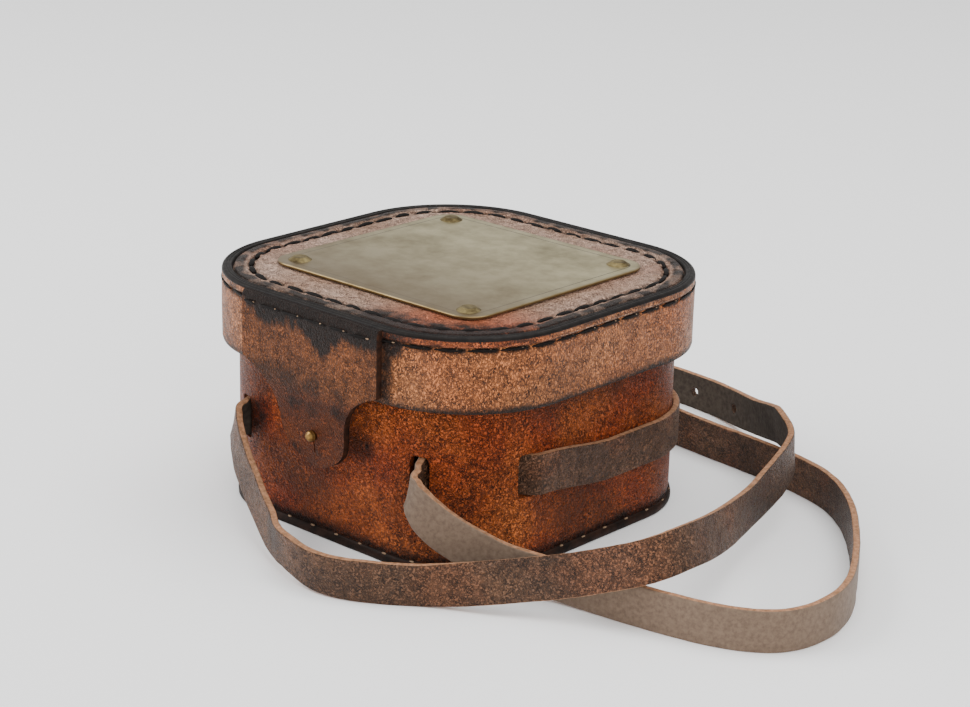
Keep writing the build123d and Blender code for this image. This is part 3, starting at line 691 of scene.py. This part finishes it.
def side_ring(z):
    """The side's outside at height z, gently uneven and drawn in along the seam."""
    def at(s):
        wave = 0.22 * noise.noise(Vector((s / 30, z / 18, 5)))
        return wave - hump(z, SEAM_Z, 0.6) * (0.35 + 0.25 * on_stitch(s)), z
    return at


SIDE_STEPS = [0.9, 1.6, 2.3, 3.0, 3.8, 4.8, 6, 7.5, 9, 10.5, 12, 13.5, 15, 16.5, 17.6, 18.2, 18.6, 18.9, 19.2,
              19.5, 19.8, 20.1]
lower_edge = [(-BAND_T, UNDER_Z), (-BAND_T, EDGE_Z + 0.8), (-BAND_T + 0.25, EDGE_Z + 0.2),
              (-BAND_T + 0.8, EDGE_Z), (-0.8, EDGE_Z), (-0.22, EDGE_Z + 0.25)]
side_rings = [side_ring(z) for z in [EDGE_Z + up for up in SIDE_STEPS] + [UNDER_Z]]
lid_band = ring_skin("lid_band_leather", lower_edge + side_rings, TOP_RING)


def band_dark(x, y, z):
    rubbed = 0.75 + 0.25 * patchy(x, y, z, 22, 5.0)
    low = (1 - ramp(z, EDGE_Z + 0.4, EDGE_Z + 1.8 + 3.4 * patchy(x, y, 0, 14, 2.0))) * rubbed
    # painted shade in the groove of the side seam, darkest at each stitch
    seam = hump(z, SEAM_Z, 1.15) * (0.15 + 0.85 * on_stitch(along(x, y)))
    above = 0.85 * ramp(z, 71.8, 73) * ramp(patchy(x, y, z, 8, 9.0), 0.32, 0.56)
    tab_shadow = 0.8 * ramp(x, 27, 29) * (1 - ramp(x, 31, 34)) * (y < 0)
    return max(low, seam, above, tab_shadow, 0.95 * blob(x, y, z, *STREAKS))


def band_warm(x, y, z):
    return 0.3 * ramp(patchy(x, y, z, 30, 3.0), 0.45, 0.75)


def band_red(x, y, z):
    return 0.08 * ramp(patchy(x, y, z, 20, 8.0), 0.5, 0.8)


paint(lid_band, dark=band_dark, warm=band_warm, red=band_red)
wear(lid_band, LID)
faced(lid_band, INSIDE, lambda x, y, z: in_from_edge(x, y) > BAND_T - 0.3 and z > EDGE_Z + 0.7)

# ---------------------------------------------------------------- lid stitches
SEAM_POINTS = 720
top_line = [(x, y, TOP_Z - 1.0) for x, y, *_ in outline(-STITCH_IN, SEAM_POINTS)]
top_seam = sew("lid_top_stitches", top_line, STITCHES_ROUND, length=7.4, thick=2.0, thread=THREAD)


def side_line(out, z):
    """The side seam moved out; it passes over the tab, which is sewn in with it."""
    line = []
    for x, y, nx, ny, _ in outline(0, SEAM_POINTS):
        over_tab = y < 0 and abs(x) < TAB_W / 2 + 0.6
        off = (TAB_T + 0.05 if over_tab else -0.25) + out
        line.append((x + nx * off, y + ny * off, z))
    return line


side_seam = sew("lid_side_stitches", side_line(0.0, SEAM_Z), STITCHES_ROUND, length=9.8, thick=0.95,
                thread=THREAD)
# where one stitch meets the next the thread has worn bare
KNOT_SHIFT = 4         # points of the line that the knots lie further along
knot_line = side_line(0.12, SEAM_Z + 0.15)
knots = sew("lid_side_knots", knot_line[KNOT_SHIFT:] + knot_line[:KNOT_SHIFT], STITCHES_ROUND,
            length=1.1, thick=0.5, thread=PALE)

# ---------------------------------------------------------------- case
CASE_RING = 480        # points in one ring round the case
WALL_TOP, WALL_IN = 72.1, -INSET - WALL_T


def wall_ring(z):
    """The wall's outside at height z, gently uneven and drawn in above the welt."""
    return lambda s: (-INSET + 0.12 * noise.noise(Vector((s / 22, z / 12, 8))) - 0.25 * hump(z, 3.4, 0.6), z)


WALL_STEPS = [BASE_T, 3.6, 4.4, 5.5, 7, 9, 12, 16, 20, 24, 28, 32, 36, 40, 44, 48, 52, 56, 62, 68, WALL_TOP]
rings = [(-INSET - 0.3, 2.95)] + [wall_ring(z) for z in WALL_STEPS]
rings += [(-INSET - 0.2, UNDER_Z - 0.2), (-INSET - 0.7, UNDER_Z), (WALL_IN + 0.7, UNDER_Z)]
rings += [(WALL_IN + 0.2, UNDER_Z - 0.2)] + [(WALL_IN, z) for z in (WALL_TOP, 60, 48, 36, 24, 12, BASE_T)]
case_wall = ring_skin("case_wall_leather", rings, CASE_RING)

for side in (1, -1):
    for angle in (FRONT_SLOT, SIDE_SLOT):
        x, y = corner_point(angle, -WALL_T / 2, side)
        turn = angle if side > 0 else math.pi - angle
        size = (3 * WALL_T, SLOT_WIDE, STRAP_W + SLOT_CLEAR)
        case_wall = cut(case_wall, solid_box("slot_punch", (x, y, SLOT_Z), size, turn, rounded=0.22))
case_wall = cut(case_wall, solid_rod("stud_punch", (0, -WALL_Y, STUD_Z), (0, 1, 0), STUD_HOLE_R, 12))
smooth_by_angle(case_wall, 45)

# soft patches: middle, radius, strength
BEHIND_SLOT = [((-31, -58, 33), 10, 0.75), ((-29, -58, 46), 12, 0.6), ((-40, -54, 42), 16, 0.5)]
LOW_RIGHT = [((60, -6, 11), 26, 0.5)]
WALL_RUBBED = [((56, -38, 14), 14, 0.8), ((43, -53.5, 30), 9, 0.4), ((59, -6, 44), 16, 0.3)]
WALL_REDDER = [((43, -53, 31), 11, 0.45), ((-27, -58, 33), 9, 0.5)]
UNDER_TONGUE, BESIDE_TONGUE, CLEAR_OF_CLOUDS = ((-8, -58, 22), 20), ((15.5, -58, 34), 8), ((56, -40, 18), 22)


def case_dark(x, y, z):
    foot = 0.85 * (1 - ramp(z, 3.2, 6.0 + 5 * patchy(x, y, 0, 16, 7.0)))
    # painted shade under the lid's edge, more towards the right and the back; partly burnish
    shade_under_lid = 0.55 * ramp(z, 38, 52) * ramp(x + y, -20, 40)
    tongue_shade = 0.5 * blob(x, y, z, *UNDER_TONGUE) + 0.7 * blob(x, y, z, *BESIDE_TONGUE)
    cloud = 0.3 * ramp(patchy(x, y, z, 15, 6.0), 0.52, 0.78) * (1 - blob(x, y, z, *CLEAR_OF_CLOUDS))
    back = 0.3 * ramp(y, -10, 40)
    return max(foot, shade_under_lid, tongue_shade, blobs(x, y, z, BEHIND_SLOT + LOW_RIGHT), cloud, back)


def case_warm(x, y, z):
    return max(blobs(x, y, z, WALL_RUBBED), 0.35 * ramp(patchy(x, y, z, 14, 2.0), 0.55, 0.8))


def case_red(x, y, z):
    return max(blobs(x, y, z, WALL_REDDER), 0.3 * ramp(patchy(x, y, z, 18, 5.0), 0.45, 0.7))


paint(case_wall, dark=case_dark, warm=case_warm, red=case_red)
wear(case_wall, CASE)
faced(case_wall, INSIDE, lambda x, y, z: in_from_edge(x, y) > INSET + WALL_T - 0.3)

# ---------------------------------------------------------------- base welt
WELT_OUT, WELT_IN = -INSET + 0.8, -5.0          # its outside, and how far in from there it reaches
# out from its outside, and height
WELT_FORM = [(WELT_IN, 0), (-1.0, 0), (-0.35, 0.12), (-0.05, 0.5), (0, 1.1), (-0.03, 1.8), (-0.22, 2.45),
             (-0.6, 2.9), (-1.0, BASE_T), (WELT_IN, BASE_T)]


def welt_ring(out, z):
    """A ring of the welt, rough where it shows."""
    rough = 0.10 if out > -1.5 else 0.0
    return lambda s: (WELT_OUT + out + rough * noise.noise(Vector((s / 6, z, 2))), z)


base_welt = ring_skin("base_welt_leather", [welt_ring(out, z) for out, z in WELT_FORM], CASE_RING)
wear(base_welt, WELT)
specks = [(x, y, 2.85) for x, y, *_ in outline(WELT_OUT - 0.55, SEAM_POINTS)]
welt_seam = sew("base_welt_stitches", specks, 40, length=1.7, thick=0.6, thread=PALE)

# ---------------------------------------------------------------- strap
BAR = Vector((-20.0, 84.2, 9.8))       # the buckle's bar
LAYER = 1.1 + 0.05 + 1.1               # bar's middle to the middle of the leather round it
# the free ends' control points, from the front slots, and how far they lean over at each, in degrees
LEFT = [(*corner_point(FRONT_SLOT, 0.5, -1), SLOT_Z), (-38.3, -59.5, 30.1), (-34.9, -62.8, 26.7),
        (-27.0, -68.1, 21.7), (-13.0, -74.6, 14.6), (3.3, -82.4, 8.6), (12.7, -87.7, 9.6), (27.7, -89.4, 6.8),
        (42.5, -82.7, 6.35), (57.2, -71.1, 6.35), (72.6, -60.1, 8.8), (87.0, -51.2, 12.2), (100.4, -46.5, 17.1),
        (111.4, -40.1, 21.1), (114.9, -24.4, 22.8), (107.8, -1.9, 18.1), (99.3, 24.7, 16.0), (94.4, 46.2, 19.1),
        (86.5, 64.8, 20.0), (73.5, 76.0, 21.2), (63.9, 86.2, 17.6), (45.1, 102.1, 10.6), (29.0, 112.2, 7.3),
        (12.9, 118.0, 6.35), (-10.0, 119.6, 6.35), (-36.0, 118.4, 6.35)]
LEFT_LEAN = [0, -20, -7, -6, -3, -2, 10, 7, 0, 0, -22, -19, -17, -22, -19, -14, -3, -9, -4, -8, -9, -9]
LEFT_LEAN += [0] * 4
RIGHT = [(*corner_point(FRONT_SLOT, 0.5, 1), SLOT_Z), (38.6, -61.0, 28.3), (41.3, -62.0, 26.5),
         (46.7, -61.4, 20.9), (54.4, -57.5, 15.4), (64.3, -49.8, 9.2), (80.4, -42.8, 6.8), (105.4, -39.7, 6.35),
         (131.2, -34.9, 6.35), (147.8, -25.1, 6.35), (151.4, -7.1, 6.35), (146.5, 10.1, 6.35),
         (136.7, 26.6, 6.35), (125.7, 42.7, 6.35), (113.2, 58.1, 6.35), (97.9, 71.5, 6.35), (80.3, 77.7, 6.35),
         (59.8, 80.7, 6.35), (34.9, 83.1, 6.35), (15.0, 85.6, 6.8), (2.0, BAR.y + LAYER, 8.4),
         (BAR.x, BAR.y + LAYER, BAR.z)]
RIGHT_LEAN = [0, -20, 6, -1, -2, 1, 1] + [0] * 15
HOLES = [(29.5, 111.9, 7.4), (6.8, 118.3, 6.35), (-16.0, 119.3, 6.35)]
HOLE_R = 1.6
PRONG_SLOT = (10.3, 20, 3.0)
GRAIN_SIDE, FLESH_SIDE, CUT_EDGE = 0, 1, 2
EDGE_R = 0.42          # its edges are worn to this radius


def smooth_way(name, points):
    """A smooth line with these points as its control points; returns the points along it, in millimetres."""
    obj = curve_object(name, "NURBS", points)
    obj.data.resolution_u = 14
    spline = obj.data.splines[0]
    spline.order_u = 3
    spline.use_endpoint_u = True
    line = settle(obj)
    way = [v.co / MM for v in line.data.vertices]
    bpy.data.meshes.remove(line.data)
    return way


def strap_section():
    """The strap's cross-section, walked round: sideways, upward, and the next face's material."""
    section = []
    across, high = STRAP_T / 2, STRAP_W / 2
    # outward direction, reach that way, half the side, its material, faces along it, the next side's
    # material, and how many of the corner's four faces keep the first
    sides = (((1, 0), across, high, GRAIN_SIDE, 7, CUT_EDGE, 3),
             ((0, 1), high, across, CUT_EDGE, 4, FLESH_SIDE, 2),
             ((-1, 0), across, high, FLESH_SIDE, 7, CUT_EDGE, 3),
             ((0, -1), high, across, CUT_EDGE, 4, GRAIN_SIDE, 2))
    for (nx, ny), reach, half, kind, parts, then, kept in sides:
        for k in range(parts):
            t = -half + EDGE_R + (2 * half - 2 * EDGE_R) * k / parts
            section.append((nx * reach - ny * t, ny * reach + nx * t, kind))
        for k in range(4):
            out = reach - EDGE_R + EDGE_R * math.cos(k * math.pi / 8)
            t = half - EDGE_R + EDGE_R * math.sin(k * math.pi / 8)
            section.append((nx * out - ny * t, ny * out + nx * t, kind if k < kept else then))
    return section


def lean_at(leans, share):
    """Degrees of lean at a share of the line; leans has one for each control point."""
    place = share * (len(leans) - 2) + 0.5
    if place < 1:
        place = max(0.0, place * 2 - 1)
    k = min(int(place), len(leans) - 2)
    return leans[k] + (leans[k + 1] - leans[k]) * min(1.0, place - k)


def ribbon(name, way, grain_right=True, tip=0.0, lean=None, rag=0.07, flesh=FLESH):
    """A flat leather strap stood on edge along way. Its skins and its two cut edges are three materials;
    grain_right says that the grain side is on the right of someone walking along it. tip is the length of its
    blunt point, and lean how far it tips over to the right at its control points, in degrees."""
    section = strap_section()
    count = len(section)
    gone = [0.0]
    for p, q in zip(way, way[1:]):
        gone.append(gone[-1] + (q - p).length)
    verts, faces, kinds = [], [], []
    for i, (p, s) in enumerate(zip(way, gone)):
        t = (way[min(i + 1, len(way) - 1)] - way[max(i - 1, 0)]).normalized()
        up = (Vector((0, 0, 1)) - t * t.z).normalized()
        n = t.cross(up)
        if lean:
            tilt = math.radians(lean_at(lean, i / (len(way) - 1)))
            up, n = up * math.cos(tilt) + n * math.sin(tilt), n * math.cos(tilt) - up * math.sin(tilt)
        left = gone[-1] - s
        narrow = 0.56 + 0.44 * math.sin(math.pi / 2 * left / tip) if tip and left < tip else 1.0
        for a, b, kind in section:
            shake = rag * noise.noise(Vector((s / 2.2, b * 3, 4 + a)))
            wave = 0.16 * noise.noise(Vector((s / 8, b / 7, 9.0)))
            ragged = 0
            if abs(b) > STRAP_W / 2 - EDGE_R:
                ragged = shake + 0.12 * noise.noise(Vector((s / 17, 0.3 * (b > 0), 2)))
            spot = p + n * (a + wave + (shake if kind != CUT_EDGE else 0)) + up * (b * narrow + ragged)
            spot.z = max(spot.z, 0.02)
            verts.append(spot)
    for i in range(len(way) - 1):
        for k in range(count):
            m = (k + 1) % count
            faces.append((i * count + k, i * count + m, (i + 1) * count + m, (i + 1) * count + k))
            kind = section[k][2]
            kinds.append(kind if kind == CUT_EDGE or grain_right else 1 - kind)
    last = (len(way) - 1) * count
    faces.append(tuple(range(count - 1, -1, -1)))
    faces.append(tuple(range(last, last + count)))
    kinds += [CUT_EDGE, CUT_EDGE]
    mesh = bpy.data.meshes.new(name)
    mesh.from_pydata([tuple(v * MM) for v in verts], [], faces)
    for m in (STRAP, flesh, CUT):
        mesh.materials.append(m)
    mesh.polygons.foreach_set("material_index", kinds)
    mesh.polygons.foreach_set("use_smooth", [True] * len(kinds))
    turn_outwards(mesh)
    return placed(name, mesh)


def strap_stain(obj, seed, darker=(), rubbed=()):
    """Old dressing has gone dark in clouds, and rubbed places are orange."""
    def dark(x, y, z):
        return max(0.3 * ramp(patchy(x, y, z, 12, seed), 0.5, 0.74), blobs(x, y, z, darker))

    def warm(x, y, z):
        return max(0.08 * ramp(patchy(x, y, z, 9, seed + 3), 0.55, 0.8), blobs(x, y, z, rubbed))

    paint(obj, dark=dark, warm=warm, red=lambda x, y, z: 0.3 * warm(x, y, z))


def nearest(way, spot):
    """The point of the way nearest to spot, and its direction there."""
    k = min(range(1, len(way) - 1), key=lambda i: (way[i] - Vector(spot)).length)
    return way[k], (way[k + 1] - way[k - 1]).normalized()


def root(side):
    """The strap's first millimetres, within the wall of its front slot."""
    return [Vector((*corner_point(FRONT_SLOT, off, side), SLOT_Z)) for off in (-1.9, -1.1, -0.3)]


left_way = smooth_way("left_strap_line", LEFT)
right_way = smooth_way("right_strap_line", RIGHT)
# its flesh side takes the darker copy: soaked-through dye with painted shade
left_strap = ribbon("strap_with_holes", root(-1) + left_way, tip=9, lean=LEFT_LEAN, flesh=FLESH_STAINED_AND_SHADED)
for spot in HOLES:
    p, t = nearest(left_way, spot)
    left_strap = cut(left_strap, solid_rod("hole_punch", p, (t.y, -t.x, 0), HOLE_R, 8))
right_strap = ribbon("strap_to_buckle", root(1) + right_way, grain_right=False, lean=RIGHT_LEAN)
right_strap = cut(right_strap, solid_box("prong_punch", BAR, PRONG_SLOT))

# the strap's end turns half round the bar and runs back under the keeper
half_turn = [math.pi / 2 + math.pi * k / 16 for k in range(17)]
fold_way = [BAR + Vector((LAYER * math.cos(a), LAYER * math.sin(a), 0)) for a in half_turn]
fold_way += [BAR + Vector((x, -LAYER, 0)) for x in (1.5, 3, 5, 8, 11, 14, 17, 20, 22, 24)]
fold = ribbon("strap_turned_round_bar", fold_way, grain_right=False, tip=4)
fold = cut(fold, solid_box("prong_punch", BAR, PRONG_SLOT))

strap_stain(left_strap, 1.0, darker=[((6, -86, 12), 11, 0.6), ((92, 50, 20), 60, 0.45)],
            rubbed=[((60, -68, 7), 14, 0.08), ((104, -45, 19), 22, 0.1)])
strap_stain(right_strap, 5.0, darker=[((120, 45, 7), 60, 0.4)])
strap_stain(fold, 2.0)

# one strap passes round the back and, inside the corners, from the side slots to the front slots
STRAP_GAP = 0.15       # between the wall and the strap that lies on it
SKIN_OFF, IN_OFF = STRAP_GAP + STRAP_T / 2, -WALL_T - STRAP_GAP - STRAP_T / 2
WRAP_POINTS, WRAP_SAG = 400, 3.6


def inner(side):
    """Control points from beside a side slot, in through it, along the inside and out at the front slot."""
    inside = [SIDE_SLOT - 9 * DEG + k * (FRONT_SLOT - SIDE_SLOT + 18 * DEG) / 4 for k in range(5)]
    polar = [(SKIN_OFF, SIDE_SLOT + 8 * DEG), (SKIN_OFF, SIDE_SLOT + 4.6 * DEG),
             (IN_OFF, SIDE_SLOT - 4.6 * DEG)]
    polar += [(IN_OFF, a) for a in inside] + [(IN_OFF, FRONT_SLOT + 3.4 * DEG), (-1.3, FRONT_SLOT)]
    return [(*corner_point(a, off, side), SLOT_Z) for off, a in polar]


def wrap_way():
    """From the right front slot inside to the side slot, round the back, a little slack, and in at the left."""
    line = outline(-INSET + SKIN_OFF, WRAP_POINTS)
    level = [(x, y, SLOT_Z - WRAP_SAG * ramp(y, -28, 6)) for x, y, *_ in line]
    behind = [k for k in range(WRAP_POINTS) if level[k][1] > 5 - SLOT_Y]
    first = min(k for k in behind if level[k][0] > 0)
    last = max(k for k in behind if level[k][0] < 0)
    right_in = smooth_way("right_inner_line", inner(1))
    left_in = smooth_way("left_inner_line", inner(-1))
    return right_in[::-1] + [Vector(p) for p in level[first:last + 1]] + left_in


wrap_strap = ribbon("strap_round_case", wrap_way(), rag=0.05)
strap_stain(wrap_strap, 8.0, darker=[((0, 60, 28), 60, 0.4)])


def keeper_loop():
    """Keeper: a loop of thinner leather round both layers, as big as its CAD node."""
    low, top = (Vector(c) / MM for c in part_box("strap_keeper"))
    mid = (low + top) / 2
    wide, high, bend = (top.y - low.y) / 2, (top.z - low.z) / 2, 1.5
    loop = []
    for sy, sz, start in ((1, 1, 0), (-1, 1, 90), (-1, -1, 180), (1, -1, 270)):
        for k in range(7):
            a = math.radians(start + 15 * k)
            loop.append((sy * (wide - bend) + bend * math.cos(a), sz * (high - bend) + bend * math.sin(a),
                         math.cos(a), math.sin(a)))
    # its section: along the strap, and out from the loop
    section = [(-3, 0), (-2.7, 0.25), (-1.5, 0.3), (0, 0.3), (1.5, 0.3), (2.7, 0.25), (3, 0),
               (3, -0.9), (1.5, -0.9), (-1.5, -0.9), (-3, -0.9)]
    crown = 0.3
    verts, faces = [], []
    for y, z, ny, nz in loop:
        for x, out in section:
            verts.append((mid.x + x, mid.y + y + ny * (out - crown), mid.z + z + nz * (out - crown)))
    count = len(section)
    for i in range(len(loop)):
        for k in range(count):
            j, m = (i + 1) % len(loop), (k + 1) % count
            faces.append((i * count + k, j * count + k, j * count + m, i * count + m))
    return wear(mesh_object("keeper_loop", verts, faces), STRAP)


keeper = keeper_loop()


# ---------------------------------------------------------------- tab
def leather_sheet(name, rows, cols, half_width, thick, rounding):
    """A flat sheet of leather across X and up Z, with its cut edges rubbed round."""
    verts = [(half_width(z) * (2 * k / cols - 1), 0, z) for z in rows for k in range(cols + 1)]
    faces = []
    for i in range(len(rows) - 1):
        for k in range(cols):
            a = i * (cols + 1) + k
            faces.append((a, a + 1, a + cols + 2, a + cols + 1))
    sheet = mesh_object(name, verts, faces)
    leaf = sheet.modifiers.new("leather", "SOLIDIFY")
    leaf.thickness, leaf.offset = thick * MM, 0
    return round_edges(settle(sheet), rounding)


TAB_TOP, TAB_BEND, TAB_FLAT = TOP_Z - 0.8, 50.9, 54     # above the last it lies close on the lid
TAB_RUBBED = [((-9, -63, 31), 9, 0.35), ((7, -63, 28), 8, 0.25)]
BUTTONHOLE_R, SLIT = 1.7, (0.5, 12, 4.2)
# height, and half the tab's width there
TAB_SIDE = [(24.2, 0.35), (24.5, 2.0), (25.2, 4.0), (26.2, 6.2), (27.4, 8.2), (28.9, 10.1), (30.8, 11.8),
            (33.2, 12.8), (35.8, 13.5), (38.6, 13.8), (41.4, 14.3), (43.4, 14.9), (45.3, 15.9), (47.2, 17.2),
            (48.9, 18.9), (50.4, 20.7), (51.8, 23.0), (52.9, 25.4), (53.6, 27.4), (54.1, 28.5), (54.6, 28.75),
            (60, TAB_W / 2), (TAB_TOP, TAB_W / 2)]
# how far down the black runs, along X
SMOKE = [(-28.8, 71), (-24, 68.5), (-22, 66), (-17, 66), (-12, 67), (-3, 67), (0, 65), (3.5, 62), (6.3, 59.5),
         (9, 63.5), (15, 67.5), (22, 67.3), (28.8, 67)]


def half_width(z):
    return between(TAB_SIDE, z)


def lean_in(z):
    """How far the tongue leans in towards the wall, below the bend."""
    below = TAB_BEND - z
    if below < -2:
        return 0.0
    return math.tan(TAB_LEAN) * (below if below > 2 else (below + 2) ** 2 / 8)


upper = {round(TAB_TOP - 0.9 * k, 3) for k in range(24)}
lower = {round(54.5 - 0.55 * k, 3) for k in range(55)}
rows = sorted(upper | lower | {z for z, _ in TAB_SIDE}, reverse=True)
tab = leather_sheet("tab_leather", [z for z in rows if z >= TAB_SIDE[0][0]], 56, half_width, TAB_T, 0.55)
tab = cut(tab, solid_rod("button_punch", (0, 0, STUD_Z), (0, 1, 0), BUTTONHOLE_R, 12))
tab = cut(tab, solid_box("slit_knife", (0, 0, STUD_Z - 3.6), SLIT))
for v in tab.data.vertices:
    x, y, z = v.co / MM
    flow = 0.14 * noise.noise(Vector((x / 9, z / 7, 6)))
    tucked = 0.7 * ramp(z, 73.2, 75.0)
    loose = flow if z < TAB_FLAT else 0.4 * flow - 0.02
    v.co.y = (-LID_D / 2 - TAB_T / 2 + y + lean_in(z) + tucked + loose) * MM
smooth_by_angle(tab, 50)


def tab_dark(x, y, z):
    low = between(SMOKE, x) + 6 * (patchy(x, 0, z / 12, 0.9, 2.0) - 0.5)
    smoke = ramp(z, low - 1.5, low + 3)
    seam = hump(z, SEAM_Z, 0.6) * 0.8
    neck = 0.6 * (1 - ramp(abs(z - 49), 3, 9)) * ramp(patchy(x, y, z, 6, 4.0) + 0.012 * (5 - x), 0.32, 0.72)
    rim = 0.6 * ramp(abs(x), half_width(z) - 1.2, half_width(z) - 0.2) * ramp(TAB_FLAT - z, 0, 3)
    base = 0.25 * ramp(patchy(x, y, z, 8, 9.0), 0.5, 0.75) + 0.5 * ramp(53 - z, 0, 8)
    return max(smoke, seam, neck, rim, base)


def tab_warm(x, y, z):
    return max(0.12 * ramp(z, TAB_FLAT, 60) * patchy(x, y, z, 14, 1.0), blobs(x, y, z, TAB_RUBBED))


def tab_red(x, y, z):
    return 0.3 * ramp(53 - z, 0, 10) * (0.6 + 0.4 * patchy(x, y, z, 9, 2.0))


paint(tab, dark=tab_dark, warm=tab_warm, red=tab_red)
wear(tab, TAB)
# the tab's cut edges: dark stain, darkened further as painted shade
faced(tab, TAB_EDGE_STAIN_AND_SHADE, lambda x, y, z: abs(x) > half_width(z) - 0.12)

# ---------------------------------------------------------------- hinge
HINGE_LOW, HINGE_TOP, END_SQUARE = 38.2, 67.3, 0.8      # its two ends, which stay square this far
STEP_OUT, STEP_DONE = 45.0, 51.4       # heights between which it comes out from the wall to the band
HINGE_STITCH, HINGE_SEAM = 5.0, 28     # one stitch to the next, and half a seam's length
ON_HINGE = HINGE_T - 0.05              # thread, out from what the hinge lies on


def hinge_y(z):
    """The strip's middle: flat on the wall, out to the bend under the lid's edge, and up the band."""
    return HINGE_T / 2 + WALL_Y + (LID_D / 2 - WALL_Y) * ramp(z, STEP_OUT, STEP_DONE)


rows = [HINGE_LOW + 0.5 * k for k in range(59)] + [HINGE_TOP]
hinge = leather_sheet("hinge_leather", rows, 2 * HINGE_HALF, lambda z: HINGE_HALF, HINGE_T, 0.5)
for v in hinge.data.vertices:
    x, y, z = v.co / MM
    turn = math.atan((hinge_y(z + 0.2) - hinge_y(z - 0.2)) / 0.4)
    v.co.y = (hinge_y(z) + y * math.cos(turn)) * MM
    if HINGE_LOW + END_SQUARE < z < HINGE_TOP - END_SQUARE:
        v.co.z = (z - y * math.sin(turn)) * MM
smooth_by_angle(hinge, 50)


def hinge_dark(x, y, z):
    return max(0.5 * hump(z, 50.5, 4), 0.5 * ramp(patchy(x, y, z, 9, 2.0), 0.5, 0.75))


paint(hinge, dark=hinge_dark, red=lambda x, y, z: 0.3, warm=lambda x, y, z: 0.2)
wear(hinge, TAB)


def sew_hinge(name, y, z):
    """One straight seam across the hinge."""
    count = round(2 * HINGE_SEAM / HINGE_STITCH) + 1
    return sew(name, [(-HINGE_SEAM, y, z), (HINGE_SEAM, y, z)], count, length=3.6, thick=0.8, thread=THREAD,
               closed=False)


hinge_seams = [sew_hinge("hinge_stitches_lid_top", LID_D / 2 + ON_HINGE, 64.6),
               sew_hinge("hinge_stitches_lid_low", LID_D / 2 + ON_HINGE, 55.4)]
hinge_low = sew_hinge("hinge_stitches_case", WALL_Y + ON_HINGE, 41.2)

# ---------------------------------------------------------------- brass and small CAD nodes
wear(nodes["brass_plate"], PLATE)
wear(nodes["plate_rivets"], RIVET)
wear(nodes["base_panel"], INSIDE)
for name in ("rivet_burrs", "stud", "stud_washer", "stud_screw", "buckle_frame", "buckle_prong"):
    wear(nodes[name], BRASS)

# ---------------------------------------------------------------- who moves with what
# piece, body, slot, and the CAD nodes that it stands for
PIECES = [(case_wall, "case", "case_leather", ["body_wall"]),
          (base_welt, "case", "black_leather", ["base_welt"]),
          (welt_seam, "case", "case_leather", []),
          (lid_top, "lid", "lid_leather", ["lid_top"]),
          (lid_band, "lid", "lid_leather", ["lid_band"]),
          (top_seam, "lid", "black_leather", []),
          (side_seam, "lid", "black_leather", []),
          (knots, "lid", "black_leather", []),
          (wrap_strap, "case", "strap_leather", ["strap_wrap", "strap_inner_left", "strap_inner_right"]),
          (left_strap, "case", "strap_leather", ["strap_end_left"]),
          (right_strap, "case", "strap_leather", ["strap_end_right"]),
          (fold, "case", "strap_leather", ["strap_fold"]),
          (keeper, "case", "strap_leather", ["strap_keeper"]),
          (hinge_low, "case", "black_leather", []),
          *[(seam, "lid", "black_leather", []) for seam in hinge_seams]]
for obj, body, slot, stood_for in PIECES:
    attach(obj, body)
    if stood_for:
        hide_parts(*stood_for)
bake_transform(tab)
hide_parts("tab_upper", "tab_tongue")
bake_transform(hinge)
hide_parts("hinge_upper", "hinge_lower")

# ---------------------------------------------------------------- floor and light
WHITE = linear("#FFFFFF")
bpy.ops.mesh.primitive_plane_add(size=8)
floor = bpy.context.object
floor.name = "studio_floor"
paper = bpy.data.materials.new("white_paper")
paper.use_nodes = True
paper.node_tree.nodes["Principled BSDF"].inputs["Base Color"].default_value = WHITE
paper.node_tree.nodes["Principled BSDF"].inputs["Roughness"].default_value = 0.9
wear(floor, paper)

world = bpy.data.worlds.new("studio")
scene.world = world
world.use_nodes = True
world.node_tree.nodes["Background"].inputs[0].default_value = WHITE
world.node_tree.nodes["Background"].inputs[1].default_value = 0.9


def lamp(name, spot, size, power):
    """A square lamp of this size that points at the case; metres and watts."""
    light = bpy.data.lights.new(name, "AREA")
    light.shape, light.size, light.energy = "SQUARE", size, power
    obj = placed(name, light)
    obj.location = spot
    obj.rotation_euler = (Vector((0.03, 0, 0.03)) - Vector(spot)).to_track_quat("-Z", "Y").to_euler()


lamp("left window", (-0.9, -0.7, 0.9), 0.9, 14)
lamp("overhead", (0.15, 0.25, 1.3), 1.1, 12)
lamp("right fill", (1.0, -0.6, 0.55), 0.55, 5.5)
